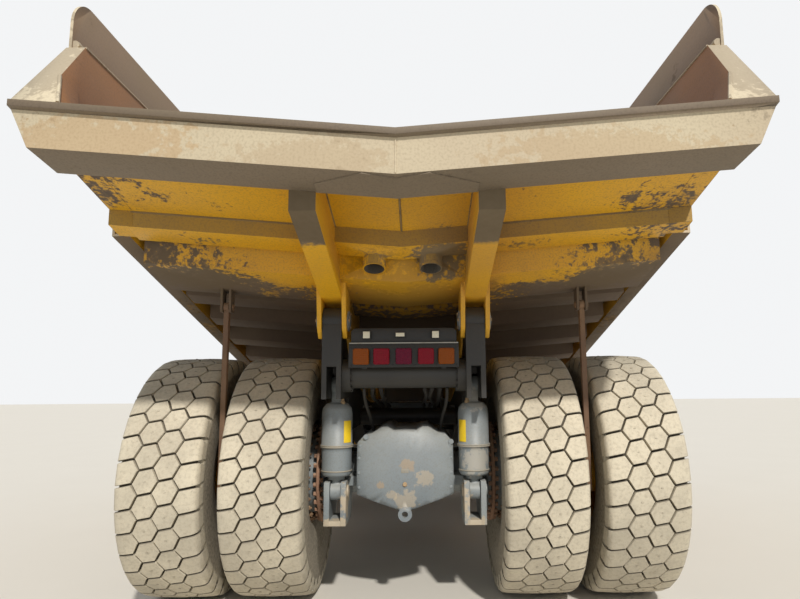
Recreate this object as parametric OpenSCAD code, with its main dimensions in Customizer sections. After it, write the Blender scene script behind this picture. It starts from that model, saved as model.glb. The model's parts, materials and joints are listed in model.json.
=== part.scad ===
// Rigid quarry dump truck: rear-pivoted load bed on a box-rail frame, dual rear wheels.
// Nose towards -Y, tail towards +Y, +X is the truck's left side, ground at Z = 0. Millimetres.

/* [Overall] */
// Distance between front and rear axle
wheelbase = 4300; // [4200:10:4400]
// Nose of the bumper ahead of the front axle
front_overhang = 2200; // [2160:10:2300]
// Tail lip of the bed behind the rear axle
rear_overhang = 2650; // [2600:10:2700]

/* [Wheels] */
// Outer radius of every tyre, over the tread
tyre_r = 1085; // [1070:5:1095]
// Section width of every tyre
tyre_w = 680; // [650:5:685]
// Distance between the centres of the left and the right pair of rear tyres
rear_track = 3120; // [3110:10:3140]
// Distance between the two tyres of a rear pair
dual_pitch = 810; // [800:5:820]
// Distance between the front tyres' centres
front_track = 3515; // [3500:10:3560]
// Radius of the rim's bead seat
rim_r = 445; // [435:5:455]

/* [Frame] */
// Distance of each rail's centre from the middle plane
rail_x = 595; // [590:1:600]
// Width of a box rail
rail_w = 160; // [150:2:164]
// Height of the bed's pivot above the ground
pivot_z = 2440; // [2430:5:2450]
// Distance of the bed's pivot behind the rear axle
pivot_back = 900; // [880:10:920]
// Radius of the bed's pivot pins
pivot_pin_r = 55; // [45:1:65]

/* [Bed] */
// Slope of the bed floor, rising to the tail
floor_slope = 14; // [13.5:0.25:14.25]
// Height of the floor's underside at the tail, on the middle plane
tail_z = 3355; // [3340:5:3370]
// Slope of each half of the floor, rising to its side
floor_vee = 4.6; // [4.4:0.05:4.8]
// Thickness of the floor plate
floor_t = 40; // [25:1:50]
// Distance of the side walls' inner faces from the middle plane
bed_inner_x = 2100; // [2085:5:2110]
// Thickness of a side wall's plate
side_t = 60; // [50:1:65]
// Height of the side walls' top rail
rail_top_z = 4170; // [4150:5:4200]
// Height of the sideboards above the top rail
board_h = 400; // [300:5:420]

/* [Cab] */
// Inner side of the cab, nearest the middle plane
cab_x0 = 150; // [130:5:200]
// Width of the cab
cab_w = 1500; // [1450:5:1520]
// Height of the cab above the deck
cab_h = 1480; // [1400:5:1520]

/* [Joints] */
// Radial clearance of a pin in its bore
pin_gap = 0.1; // [0.05:0.01:0.1]
// Clearance between plates that turn past each other
side_gap = 5; // [5:0.5:6]

/* [Hidden] */
$fn = 48;

overall = front_overhang + wheelbase + rear_overhang;
nose_y = -overall / 2;
tail_y = overall / 2;
rear_y = tail_y - rear_overhang;
front_y = rear_y - wheelbase;
axle_z = tyre_r;
seat_gap = 0.3;
pivot_y = rear_y + pivot_back;

yellow = "#f2b705";
grey = "#5c6064";
dark = "#2b2d30";
rubber = "#3a3936";

// A profile in Y and Z, extruded across from x0 to x1
module across(x0, x1, pts)
    translate([x0, 0, 0]) rotate([90, 0, 90]) linear_extrude(x1 - x0) polygon(pts);

// A profile in X and Z, extruded along Y from y0 to y1
module along(y0, y1, pts)
    translate([0, y1, 0]) rotate([90, 0, 0]) linear_extrude(y1 - y0) polygon(pts);

// A plan in X and Y, extruded up from z0 to z1
module up(z0, z1, pts)
    translate([0, 0, z0]) linear_extrude(z1 - z0) polygon(pts);

module box(x0, x1, y0, y1, z0, z1)
    translate([x0, y0, z0]) cube([x1 - x0, y1 - y0, z1 - z0]);

// A round bar across, from x0 to x1, about the point y, z
module bar_x(x0, x1, y, z, r)
    translate([x0, y, z]) rotate([0, 90, 0]) cylinder(h = x1 - x0, r = r);

// A round bar from point a to point b
module bar(a, b, r) {
    d = b - a;
    len = norm(d);
    translate(a) rotate([0, acos(d[2] / len), atan2(d[1], d[0])]) cylinder(h = len, r = r);
}

module both_sides() {
    children();
    mirror([1, 0, 0]) children();
}

// Frame
rail_x0 = rail_x - rail_w / 2;
rail_x1 = rail_x + rail_w / 2;
bumper_d = 300;
rail_front_y = nose_y + bumper_d;
rail_low_z = 1180;
rail_arch_z = 1480;
horn_low_z = axle_z + 705;
horn_back_y = pivot_y + 115;
boss_r = 115;
strut_y = rear_y + 620;
strut_top_z = axle_z + 815;
strut_low_z = axle_z - 85;
strut_pin_r = 40;
eye_w = 86;
eye_r = 75;
slot_x0 = rail_x - eye_w / 2 - side_gap;
slot_x1 = rail_x + eye_w / 2 + side_gap;
cheek_r = 82;
tube_y = pivot_y - 60;
tube_z = 1985;
tube_r = 110;
pad_t = 25;

// Top edge of the rails, tail to front: distance behind the rear axle, height
rail_top = [[550, 2190], [-450, 1880], [-1650, 1700], [-2300, 1640], [rail_front_y - rear_y, 1640]];
function rail_z(back) = lookup(back, rail_top);

// Bottom edge of the rails, front to tail: distance behind the rear axle, height
rail_low = [[rail_front_y - rear_y, rail_low_z], [-1650, rail_low_z], [-800, rail_arch_z],
    [400, rail_arch_z], [440, horn_low_z], [horn_back_y - rear_y, horn_low_z]];
function rail_under(back) = lookup(back, rail_low);

// Turns a table of distances behind the rear axle into places along Y
function placed(table) = [for (p = table) [rear_y + p[0], p[1]]];

module frame_rail() {
    difference() {
        union() {
            across(rail_x0, rail_x1, concat(placed(rail_low), [[horn_back_y, pivot_z - 40],
                [pivot_y - boss_r, pivot_z + 20]], placed(rail_top)));
            bar_x(rail_x0, rail_x1, pivot_y, pivot_z, boss_r);
        }
        bar_x(rail_x0 - 1, rail_x1 + 1, pivot_y, pivot_z, pivot_pin_r + pin_gap);
        box(slot_x0, slot_x1, strut_y - 95, strut_y + 95, horn_low_z - 1, strut_top_z + 95);
    }
    // Cheeks either side of the strut's eye
    for (x = [[rail_x0, slot_x0], [slot_x1, rail_x1]]) {
        bar_x(x[0], x[1], strut_y, strut_top_z, cheek_r);
        across(x[0], x[1], [[strut_y - cheek_r, strut_top_z], [strut_y + cheek_r, strut_top_z],
            [strut_y + 130, strut_top_z + 260], [strut_y - 130, strut_top_z + 260]]);
    }
    bar_x(slot_x0 - 1, slot_x1 + 1, strut_y, strut_top_z, strut_pin_r);
}

module frame_rails() color(grey) both_sides() frame_rail();

// Rubber pads between the rails and the bed: distances behind the rear axle of a pad's two ends
pads = [[-300, -420], [-1000, -1120], [-1500, -1620], [-2500, -2620]];

module bed_pads() color(rubber) both_sides()
    for (p = pads)
        across(rail_x - 60, rail_x + 60, [[rear_y + p[0], rail_z(p[0]) + seat_gap],
            [rear_y + p[1], rail_z(p[1]) + seat_gap], [rear_y + p[1], rail_z(p[1]) + pad_t],
            [rear_y + p[0], rail_z(p[0]) + pad_t]]);

hoist_x = 860;
hoist_back = -1400;
hoist_low_y = rear_y + hoist_back;
hoist_low_z = 850;
hoist_pin_r = 45;
hoist_r = 105;
hoist_eye_r = 95;
foot_slot = 114;
foot_x1 = hoist_x + 160;
king_in = 507.5;
king_x = front_track / 2 - king_in;
king_r = 130;
tower_z0 = 1500;
tower_z1 = 2300;
arm_low_z = axle_z - 245;
arm_high_z = axle_z - 185;
a_back = -1300;
a_z = axle_z - 105;
a_bar_z = a_z + 470;

module frame_crossmembers() color(grey) {
    bar_x(-rail_x0, rail_x0, tube_y, tube_z, tube_r);
    // Collars where the tube meets the rails
    both_sides() bar_x(rail_x0 - 70, rail_x0, tube_y, tube_z, tube_r + 30);
    bar_x(-rail_x0, rail_x0, rear_y - 700, 1560, 90);
    // Carries the axle's A-frame
    difference() {
        union() {
            bar_x(-rail_x0, rail_x0, rear_y + a_back, a_bar_z, 80);
            for (x = [-240, 200])
                across(x, x + 40, [[rear_y + a_back - 70, a_bar_z], [rear_y + a_back - 60, a_z - 60],
                    [rear_y + a_back + 60, a_z - 60], [rear_y + a_back + 70, a_bar_z]]);
        }
        bar_x(-300, 300, rear_y + a_back, a_z, 45 + pin_gap);
    }
    box(-rail_x0, rail_x0, front_y - 250, front_y - 100, rail_low_z, 1240);
    box(-rail_x0, rail_x0, rail_front_y, rail_front_y + 120, rail_low_z, 1600);
    both_sides() {
        // Strut tower over the front wheel's kingpin
        difference() {
            across(rail_x1, king_x, [[front_y - 200, tower_z0], [front_y + 200, tower_z0],
                [front_y + 150, tower_z1], [front_y - 150, tower_z1]]);
            translate([king_x, front_y, tower_z0 - 1]) cylinder(h = 900, r = king_r);
        }
        // Pivot brackets of the lower arm
        for (y = [front_y - 300, front_y + 130])
            box(rail_x0, rail_x1, y, y + 80, arm_low_z, rail_low_z);
        // Foot of the hoist cylinder
        difference() {
            across(rail_x1, foot_x1, [[hoist_low_y - 110, hoist_low_z - 130],
                [hoist_low_y + 110, hoist_low_z - 130], [hoist_low_y + 110, 1480], [hoist_low_y - 110, 1480]]);
            box(hoist_x - foot_slot, hoist_x + foot_slot, hoist_low_y - 111, hoist_low_y + 111,
                hoist_low_z - hoist_eye_r - 15, 1481);
            bar_x(rail_x1 + 10, foot_x1 + 1, hoist_low_y, hoist_low_z, hoist_pin_r + pin_gap);
        }
        // Carriers of the tank and of the gearbox
        box(rail_x1, foot_x1, rear_y - 2700, rear_y - 2620, 1200, 1290);
        box(300, rail_x0, front_y + 1300, front_y + 1420, 1250, 1350);
    }
}

// Rear axle
cover_back = 800;
cover_half = 412;
brake_r = 370;
brake_x0 = 740;
brake_x1 = 950;
hub_r = 150;
lug_z = axle_z - 250;

// Outline of the banjo and its rear cover, right half: distance from the middle, height over the axle
cover = [[0, 432], [95, 428], [150, 458], [200, 458], [285, 405], [350, 390], [cover_half, 325], [cover_half, -100],
    [60, -215], [0, -225]];

// Domed rear of the cover: distance from the axle's middle line, distance behind the axle
dome = [[0, -420], [620, -420], [620, 520], [500, 660], [360, 748], [200, 790], [0, cover_back]];

module rear_axle_housing() color(grey) {
    difference() {
        union() {
            intersection() {
                along(rear_y - 420, rear_y + cover_back, concat([for (p = cover) [p[0], axle_z + p[1]]],
                    [for (i = [len(cover) - 2:-1:1]) [-cover[i][0], axle_z + cover[i][1]]]));
                translate([0, rear_y, axle_z + 60]) rotate([-90, 0, 0]) rotate_extrude() polygon(dome);
            }
            bar_x(-brake_x0, brake_x0, rear_y, axle_z, 200);
            both_sides() {
                bar_x(brake_x0, brake_x1, rear_y, axle_z, brake_r);
                bar_x(brake_x1, 1880, rear_y, axle_z, hub_r);
                for (x = [slot_x0 - 45, slot_x1])
                    across(x, x + 45, [[rear_y + 150, axle_z - 60], [rear_y + 300, axle_z - 355],
                        [strut_y + 100, axle_z - 355], [strut_y + 100, axle_z], [strut_y - 150, axle_z + 10],
                        [rear_y + 100, axle_z + 160]]);
                box(slot_x0 - 1, slot_x1 + 1, rear_y + 380, strut_y + 99, axle_z - 355, axle_z - 315);
                bar_x(slot_x0 - 1, slot_x1 + 1, strut_y, strut_low_z, strut_pin_r);
                // Web between the strut's bracket and the banjo
                box(cover_half - 1, slot_x0, rear_y + 150, rear_y + 500, axle_z - 60, axle_z + 20);
            }
            translate([0, rear_y + cover_back, lug_z]) rotate([90, 0, 0]) cylinder(h = 70, r = 58);
        }
        translate([0, rear_y + cover_back + 1, lug_z]) rotate([90, 0, 0]) cylinder(h = 72, r = 25);
    }
}

module axle_a_frame() color(grey)
    difference() {
        union() {
            both_sides() hull() {
                translate([330, rear_y - 421, axle_z - 45]) rotate([-90, 0, 0]) cylinder(h = 1, r = 65, $fn = 24);
                translate([110, rear_y + a_back, a_z]) sphere(r = 65, $fn = 24);
            }
            bar_x(-195, 195, rear_y + a_back, a_z, 90);
        }
        box(-500, 500, rear_y - 420, rear_y, 900, 1300);
        bar_x(-196, 196, rear_y + a_back, a_z, 45 + pin_gap);
    }

module axle_pin() color(grey) bar_x(-245, 245, rear_y + a_back, a_z, 45);

// Half section of a strut: radius, height over its lower eye
strut_section = [[0, 100], [72, 100], [72, 128], [112, 132], [128, 150], [130, 372], [138, 376], [138, 398], [133, 402],
    [133, 655], [125, 705], [98, 740], [55, 757], [0, 760]];

module rear_struts() color(grey) both_sides() {
    difference() {
        union() {
            translate([rail_x, strut_y, strut_low_z]) rotate_extrude() polygon(strut_section);
            box(rail_x - eye_w / 2, rail_x + eye_w / 2, strut_y - 55, strut_y + 55, strut_low_z + 730, strut_top_z);
            bar_x(rail_x - eye_w / 2, rail_x + eye_w / 2, strut_y, strut_top_z, eye_r);
            translate([rail_x, strut_y, strut_low_z]) cylinder(h = 130, r = 42);
            bar_x(rail_x - eye_w / 2, rail_x + eye_w / 2, strut_y, strut_low_z, eye_r);
        }
        for (z = [strut_top_z, strut_low_z])
            bar_x(rail_x - eye_w / 2 - 1, rail_x + eye_w / 2 + 1, strut_y, z, strut_pin_r + pin_gap);
    }
}

// Front suspension and steering
rod_r = 88;
barrel_low_z = 1500;
barrel_h = 820;
spindle_r = 75;
spindle_x = front_track / 2 + 140;
arm_y = front_y + 450;
arm_x = king_x;
arm_z = axle_z - 125;
arm_t = 50;
tie_pin_r = 25;
tie_r = 32;

module front_struts() color(grey) both_sides()
    difference() {
        translate([king_x, front_y, barrel_low_z]) cylinder(h = barrel_h, r = king_r);
        translate([king_x, front_y, barrel_low_z - 1]) cylinder(h = 251, r = rod_r + pin_gap);
    }

module front_lower_arms() color(grey) both_sides() {
    up(arm_low_z, arm_high_z, [[rail_x1, front_y - 300], [rail_x1, front_y - 220], [king_x - 240, front_y],
        [rail_x1, front_y + 130], [rail_x1, front_y + 210], [king_x, front_y + 85], [king_x, front_y - 85]]);
    translate([king_x, front_y, arm_low_z]) cylinder(h = arm_high_z - arm_low_z, r = 85);
}

module knuckle() color(grey) {
    difference() {
        union() {
            translate([king_x, front_y, arm_high_z + side_gap])
                cylinder(h = barrel_low_z + 200 - arm_high_z - side_gap, r = rod_r);
            translate([king_x, front_y, axle_z - 150]) cylinder(h = 330, r = 125);
            bar_x(king_x, spindle_x, front_y, axle_z, spindle_r);
            box(arm_x - 55, arm_x + 55, front_y, arm_y, arm_z, arm_z + arm_t);
            translate([arm_x, arm_y, arm_z]) cylinder(h = arm_t, r = 55);
        }
        translate([arm_x, arm_y, arm_z - 1]) cylinder(h = arm_t + 2, r = tie_pin_r + pin_gap);
    }
}

module tie_rod() color(grey) {
    both_sides() {
        translate([arm_x, arm_y, arm_z - side_gap - 70]) cylinder(h = 70, r = 50);
        translate([arm_x, arm_y, arm_z - side_gap - 1]) cylinder(h = arm_t + side_gap + 12, r = tie_pin_r);
    }
    bar_x(-arm_x, arm_x, arm_y, arm_z - side_gap - 35, tie_r);
}

// Wheels. Section of a tyre: distance from the tyre's middle, radius.
tyre_section = [[0.36, rim_r], [0.44, rim_r + 30], [0.485, rim_r + 170], [0.5, rim_r + 300],
    [0.485, tyre_r - 190], [0.475, tyre_r - 70], [0.445, tyre_r - 22], [0.34, tyre_r - 6], [0, tyre_r]];

module tyre(x) color(rubber)
    translate([x, 0, axle_z]) rotate([0, 90, 0]) rotate_extrude($fn = 96)
        polygon(concat([for (p = tyre_section) [p[1], p[0] * tyre_w]],
            [for (i = [len(tyre_section) - 2:-1:0])
                [tyre_section[i][1], -tyre_section[i][0] * tyre_w]]));

// A rim about its tyre's middle: barrel, flanges and a disc at distance disc_x, bored for its axle
module rim(x, disc_x, disc_t, bore_r) color(yellow)
    translate([x, 0, axle_z]) rotate([0, 90, 0]) difference() {
        rotate_extrude($fn = 96) polygon([
            [rim_r - 25, -0.36 * tyre_w], [rim_r - 0.3, -0.36 * tyre_w], [rim_r - 0.3, 0.36 * tyre_w],
            [rim_r - 25, 0.36 * tyre_w], [rim_r - 25, disc_x + disc_t], [bore_r, disc_x + disc_t],
            [bore_r, disc_x], [rim_r - 25, disc_x]]);
    }

rear_x = rear_track / 2;
inner_x = rear_x - dual_pitch / 2;
outer_x = rear_x + dual_pitch / 2;

module rear_rims() {
    translate([0, rear_y, 0]) {
        rim(inner_x, 0, 50, hub_r + 60);
        rim(outer_x, -50, 50, hub_r + 60);
    }
    color(yellow) difference() {
        union() {
            bar_x(brake_x1 + 40, 1980, rear_y, axle_z, hub_r + 60.5);
            bar_x(1980, 2060, rear_y, axle_z, 150);
        }
        bar_x(brake_x1, 1885, rear_y, axle_z, hub_r + pin_gap);
    }
}

rim_bore_x = king_x + 310;

module front_rim() {
    translate([0, front_y, 0]) rim(front_track / 2, 60, 50, 159);
    color(yellow) difference() {
        bar_x(rim_bore_x, front_track / 2 + 230, front_y, axle_z, 160);
        bar_x(rim_bore_x - 1, spindle_x + side_gap, front_y, axle_z, spindle_r + pin_gap);
    }
}

// Bed
tan_s = tan(floor_slope);
tan_v = tan(floor_vee);
front_wall_y = rear_y - 2900;
wall_lean = 0.21;
wall_t = 90;
bed_outer_x = bed_inner_x + side_t;
lip_x = 2272;
lip_over = 35;
beam_d = 300;
beam_h = 230;
rib_gap_x = 85;
ear_t = 35;

// Height of the floor's underside at y, on the middle plane
function under_z(y) = tail_z - (tail_y - y) * tan_s;
wall_base_z = under_z(front_wall_y);

// Place of the front wall's inner face at height z
function wall_y(z) = front_wall_y - (z - wall_base_z) * wall_lean;

// A strip that follows the floor's vee, in the floor's sloped frame, from y0 to y1 and from z0 to z1
module floor_strip(y0, y1, z0, z1, w)
    translate([0, tail_y, tail_z]) rotate([floor_slope, 0, 0])
        along(y0, y1, [[-w, w * tan_v + z0], [0, z0], [w, w * tan_v + z0],
            [w, w * tan_v + z1], [0, z1], [-w, w * tan_v + z1]]);

// Everything ahead of the front wall's inner face
module ahead_of_wall()
    across(-3000, 3000, [[wall_y(1000), 1000], [wall_y(5000), 5000], [nose_y - 900, 5000], [nose_y - 900, 1000]]);

module half_space(x0, x1) box(x0, x1, nose_y - 1000, tail_y + 2000, 0, 6000);

// Cross ribs under the floor: rear edge behind the rear axle, width, depth
ribs = [[1500, 220, 120], [1190, 540, 260], [280, 220, 160], [-400, 220, 140], [-1080, 220, 140],
    [-1760, 220, 140], [-2600, 220, 140]];

// Exhaust outlets through the floor, ahead of the first rib
outlet_x = 225;
outlet_y = rear_y + 1290;
outlet_z = 2815;
outlet_r = 92;

module outlet()
    difference() {
        translate([outlet_x, outlet_y, outlet_z]) rotate([19, 0, 0]) difference() {
            cylinder(h = 300, r = outlet_r);
            translate([0, 0, -1]) cylinder(h = 130, r = outlet_r - 12);
        }
        floor_strip(-7000, 300, 1, 900, 2500);
    }

module cross_rib(r)
    intersection() {
        floor_strip(-7000, 0, -r[2], 1, bed_inner_x);
        box(-3000, 3000, rear_y + r[0] - r[1], rear_y + r[0], 500, 5000);
    }

// One half of the box beam across the tail, mitred at the middle
module tail_beam_half()
    intersection() {
        translate([0, tail_y, tail_z]) rotate([0, -floor_vee, 0])
            across(-300, 2600, [[-lip_over, 1], [-lip_over, -beam_h], [-beam_d, -beam_h - 60],
                [-beam_d, -beam_d * tan_s + 1]]);
        along(tail_y - 500, tail_y, [[0, 2500], [lip_x - 155, 2500], [lip_x - 155, tail_z - 150],
            [lip_x, tail_z + lip_x * tan_v], [lip_x, 4000], [0, 4000]]);
    }

ear_y = rear_y - 2450;
ear_z = 1950;

module bed_floor() color(yellow) {
    difference() {
        union() {
            floor_strip(-7000, 300, 0, floor_t, bed_inner_x);
            // Wider lip under the ends of the side walls
            intersection() {
                floor_strip(-500, 300, 0, floor_t, lip_x);
                box(-3000, 3000, tail_y - 380, tail_y + 300, 500, 5000);
            }
        }
        box(-3000, 3000, tail_y, tail_y + 900, 2500, 5000);
        ahead_of_wall();
    }
    difference() {
        for (r = ribs) cross_rib(r);
        both_sides() half_space(rail_x - rib_gap_x, rail_x + rib_gap_x);
    }
    both_sides() {
        tail_beam_half();
        outlet();
        // Ears for the hoist rod's eye
        difference() {
            for (x = [hoist_x - 70 - 30, hoist_x + 70])
                across(x, x + 30, [[ear_y - 80, ear_z - 70], [ear_y + 80, ear_z - 70], [ear_y + 120, 2500],
                    [ear_y - 120, 2500]]);
            floor_strip(-7000, 300, 1, 900, 2500);
        }
        // Brackets of the rock ejector
        difference() {
            for (x = [rear_x - 22 - side_gap - 20, rear_x + 22 + side_gap])
                across(x, x + 20, [[ejector_y - 45, ejector_z - 50], [ejector_y + 45, ejector_z - 50],
                    [ejector_y + 60, 2800], [ejector_y - 60, 2800]]);
            floor_strip(-7000, 300, -ribs[1][2] + 1, 900, 2500);
        }
        bar_x(rear_x - 45, rear_x + 45, ejector_y, ejector_z, 18);
    }
}

// Underside of the bolsters, tail to front: distance behind the rear axle, height
bolster_front = -2880;
bolster_low = concat([[rear_overhang - beam_d, 2985], [1100, 2620], [640, 2560]],
    [for (b = [400, -450, -1650, -2300, bolster_front]) [b, rail_z(b) + pad_t]]);

module bed_bolsters() color(yellow) both_sides() {
    difference() {
        across(rail_x - rib_gap_x, rail_x + rib_gap_x, concat(placed(bolster_low),
            [[rear_y + bolster_front, 2700], [tail_y - beam_d, 3700]]));
        floor_strip(-7000, 300, 0, 2500, 2000);
    }
    difference() {
        for (x = [rail_x - rib_gap_x - ear_t, rail_x + rib_gap_x])
            across(x, x + ear_t, [[pivot_y - 130, pivot_z + 40], [pivot_y - 95, pivot_z - 110],
                [pivot_y - 30, pivot_z - 150], [pivot_y + 60, pivot_z - 150], [pivot_y + 130, pivot_z - 70],
                [pivot_y + 200, pivot_z + 300], [pivot_y - 200, pivot_z + 300]]);
        floor_strip(-7000, 300, -ribs[1][2], 2500, 2000);
    }
    bar_x(rail_x - rib_gap_x - ear_t, rail_x + rib_gap_x + ear_t, pivot_y, pivot_z, pivot_pin_r);
}

post_w = 130;
post_top_y = rear_y + 2200;
side_front_y = wall_y(rail_top_z) - wall_t;

module bed_side() color(yellow) {
    x0 = bed_inner_x;
    difference() {
        union() {
            across(x0, x0 + side_t, [[wall_y(wall_base_z) - wall_t, wall_base_z], [tail_y - 10, tail_z],
                [tail_y - 10, tail_z + 180], [post_top_y, rail_top_z], [side_front_y, rail_top_z]]);
            // Post at the tail, with its gusset to the floor
            intersection() {
                across(gusset_x, lip_x, [[tail_y - 10, tail_z], [tail_y - 10, tail_z + 215], [post_top_y, rail_top_z],
                    [post_top_y - post_w, rail_top_z], [tail_y - 10 - post_w, tail_z]]);
                along(rear_y, tail_y, [[gusset_x, tail_z], [lip_x, tail_z], [lip_x, tail_z + 240],
                    [rail_x2, rail_top_z], [x0, rail_top_z], [x0, tail_z + 480], [gusset_x, tail_z + 205]]);
            }
            // Top rail
            box(x0 + side_t - 1, rail_x2, side_front_y, post_top_y - 1, rail_top_z - 130, rail_top_z);
            // Duct along the floor, open at its rear end
            difference() {
                across(x0 + side_t - 1, duct_x1, [for (p = [[duct_front, duct_low], [duct_rear, duct_low],
                    [duct_rear, duct_high], [duct_front, duct_high]])
                    on_slope(p)]);
                across(x0 + side_t + 20, duct_x1 - 20, [for (p = [[duct_rear - 600, duct_low + 20],
                    [duct_rear + 10, duct_low + 20], [duct_rear + 10, duct_high - 20],
                    [duct_rear - 600, duct_high - 20]]) on_slope(p)]);
            }
            // Stakes from the duct to the top rail
            for (b = stakes)
                across(x0 + side_t - 1, stake_x1, [on_slope([b, duct_high - 10]), on_slope([b + stake_w, duct_high - 10]),
                    [rear_y + b + stake_w, rail_top_z - 120], [rear_y + b, rail_top_z - 120]]);
        }
        difference() {
            floor_strip(-7000, 300, -900, floor_t, lip_x + 50);
            box(x0 + side_t, 3000, -9000, rear_y + duct_rear + 5, 0, 5000);
        }
    }
    // Board on the top rail, its rear corner rounded
    intersection() {
        box(rail_x2 - 32, rail_x2 - 12, side_front_y, post_top_y - 5, rail_top_z, rail_top_z + board_h);
        union() {
            box(x0, x0 + 300, side_front_y - 1, post_top_y - board_round, rail_top_z - 1, rail_top_z + board_h + 1);
            box(x0, x0 + 300, side_front_y - 1, post_top_y + 1, rail_top_z - 1, rail_top_z + board_h - board_round);
            bar_x(x0, x0 + 300, post_top_y - 5 - board_round, rail_top_z + board_h - board_round, board_round);
        }
    }
}

rail_x2 = 2230;
gusset_x = 1985;
board_round = 210;
duct_x1 = 2300;
duct_rear = 1320;
duct_front = -2800;
duct_low = -105;
duct_high = 75;
stakes = [780, 80, -620, -1320, -2020];
stake_w = 130;
stake_x1 = 2215;

// A point of the side wall: distance behind the rear axle, height over the floor's outer edge
function on_slope(p) = [rear_y + p[0], under_z(rear_y + p[0]) + bed_inner_x * tan_v + p[1]];

module bed_side_left() bed_side();

module bed_side_right() mirror([1, 0, 0]) bed_side();

canopy_y = nose_y + 650;
canopy_z = 4180;

module bed_front_wall() color(yellow)
    across(-bed_inner_x, bed_inner_x, [[wall_y(wall_base_z - 60), wall_base_z - 60],
        [wall_y(canopy_z + 60), canopy_z + 60],
        [canopy_y, canopy_z + 60], [canopy_y, canopy_z], [wall_y(canopy_z) - 250, canopy_z],
        [wall_y(canopy_z - 350) - wall_t, canopy_z - 350], [wall_y(wall_base_z - 60) - wall_t, wall_base_z - 60]]);

// Hoist cylinders, in two stages, from the frame's foot to the bed
hoist_len = norm([ear_y - hoist_low_y, ear_z - hoist_low_z]);
hoist_lean = atan2(ear_y - hoist_low_y, ear_z - hoist_low_z);
stage_r = 85;
hoist_rod_r = 62;

module hoist_frame() translate([hoist_x, hoist_low_y, hoist_low_z]) rotate([-hoist_lean, 0, 0]) children();

module hoist_barrel() color(dark) {
    hoist_frame() difference() {
        union() {
            translate([0, 0, 80]) cylinder(h = hoist_len - 230, r = hoist_r);
            bar_x(-foot_slot + side_gap, foot_slot - side_gap, 0, 0, hoist_eye_r);
        }
        translate([0, 0, 150]) cylinder(h = hoist_len, r = stage_r + pin_gap);
    }
    bar_x(rail_x1 + 11, foot_x1, hoist_low_y, hoist_low_z, hoist_pin_r);
}

module hoist_stage() color("silver") hoist_frame()
    difference() {
        translate([0, 0, 160]) cylinder(h = hoist_len - 290, r = stage_r);
        translate([0, 0, 200]) cylinder(h = hoist_len, r = hoist_rod_r + pin_gap);
    }

module hoist_rod() color("silver") hoist_frame()
    difference() {
        union() {
            translate([0, 0, 210]) cylinder(h = hoist_len - 210 - 60, r = hoist_rod_r);
            bar_x(-64, 64, 0, hoist_len, 80);
        }
        bar_x(-65, 65, 0, hoist_len, 45);
    }

// Rock ejectors, hung between the rear tyres
ejector_y = rear_y + 720;
ejector_z = 2590;
ejector_low_z = 1000;

module rock_ejector() color(grey)
    difference() {
        union() {
            box(rear_x - 22, rear_x + 22, ejector_y - 25, ejector_y + 25, ejector_low_z, ejector_z);
            bar_x(rear_x - 22, rear_x + 22, ejector_y, ejector_z, 42);
        }
        bar_x(rear_x - 23, rear_x + 23, ejector_y, ejector_z, 18 + pin_gap);
    }

// Front end
deck_z = 2450;
deck_t = 60;
deck_half = 2300;
pad_top_z = deck_z + deck_t + 25;
deck_front_y = nose_y + 400;
deck_back_y = front_wall_y - 450;
engine_low_z = 1240;

module engine_block() color(dark)
    box(-400, 400, front_y - 950, front_y + 700, engine_low_z, 2300);

module drive_line() color(grey) {
    box(-300, 300, front_y + 1000, front_y + 2000, 1000, 1650);
    bar([0, front_y + 2000, 1200], [0, rear_y - 425, axle_z + 40], 70);
    bar([0, front_y + 712, 1450], [0, front_y + 1001, 1400], 70);
}

bumper_z0 = 680;
bumper_z1 = 1260;
bumper_half = 1900;
lamp_hole_r = 110;

module front_bumper() color(yellow) {
    difference() {
        along(nose_y, nose_y + bumper_d, [[-bumper_half, bumper_z0 + 120], [-bumper_half + 150, bumper_z0],
            [bumper_half - 150, bumper_z0], [bumper_half, bumper_z0 + 120], [bumper_half, bumper_z1],
            [-bumper_half, bumper_z1]]);
        for (x = [-1550, -1150, 1150, 1550])
            translate([x, nose_y + 61, 960]) rotate([90, 0, 0]) cylinder(h = 62, r = lamp_hole_r);
    }
    // Tow lugs
    both_sides() difference() {
        across(rail_x - 30, rail_x + 30, [[nose_y + 40, bumper_z0 + 1], [nose_y + 260, bumper_z0 + 1],
            [nose_y + 220, bumper_z0 - 130], [nose_y + 80, bumper_z0 - 130]]);
        bar_x(rail_x - 31, rail_x + 31, nose_y + 150, bumper_z0 - 65, 35);
    }
}

module head_lamps() color("white")
    for (x = [-1550, -1150, 1150, 1550])
        translate([x, nose_y + 61, 960]) rotate([90, 0, 0]) cylinder(h = 45, r = lamp_hole_r - seat_gap);

module radiator_grille() color(dark)
    difference() {
        box(-900, 900, nose_y + 160, rail_front_y - seat_gap, bumper_z1, deck_z);
        for (i = [0:8])
            box(-800, 800, nose_y + 159, nose_y + 200, 1330 + i * 118, 1400 + i * 118);
    }

module deck() color(yellow) {
    difference() {
        box(-deck_half, deck_half, deck_front_y, deck_back_y, deck_z, deck_z + deck_t);
        both_sides() box(1450, 2000, deck_front_y - 1, deck_front_y + 350, deck_z - 1, deck_z + deck_t + 1);
    }
    both_sides() {
        box(deck_half - 60, deck_half, deck_front_y, deck_back_y, deck_z - 200, deck_z);
    }
    for (x = [-rail_x - 60, rail_x - 60])
        for (y = [deck_front_y + 900, deck_back_y - 300])
            box(x, x + 120, y, y + 120, rail_z(-3000), deck_z);
    // Raised pad on the right, for a tool box
    box(-deck_half + 200, -deck_half + 800, deck_back_y - 1250, deck_back_y - 650, deck_z + deck_t - 1, pad_top_z);
}

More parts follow.
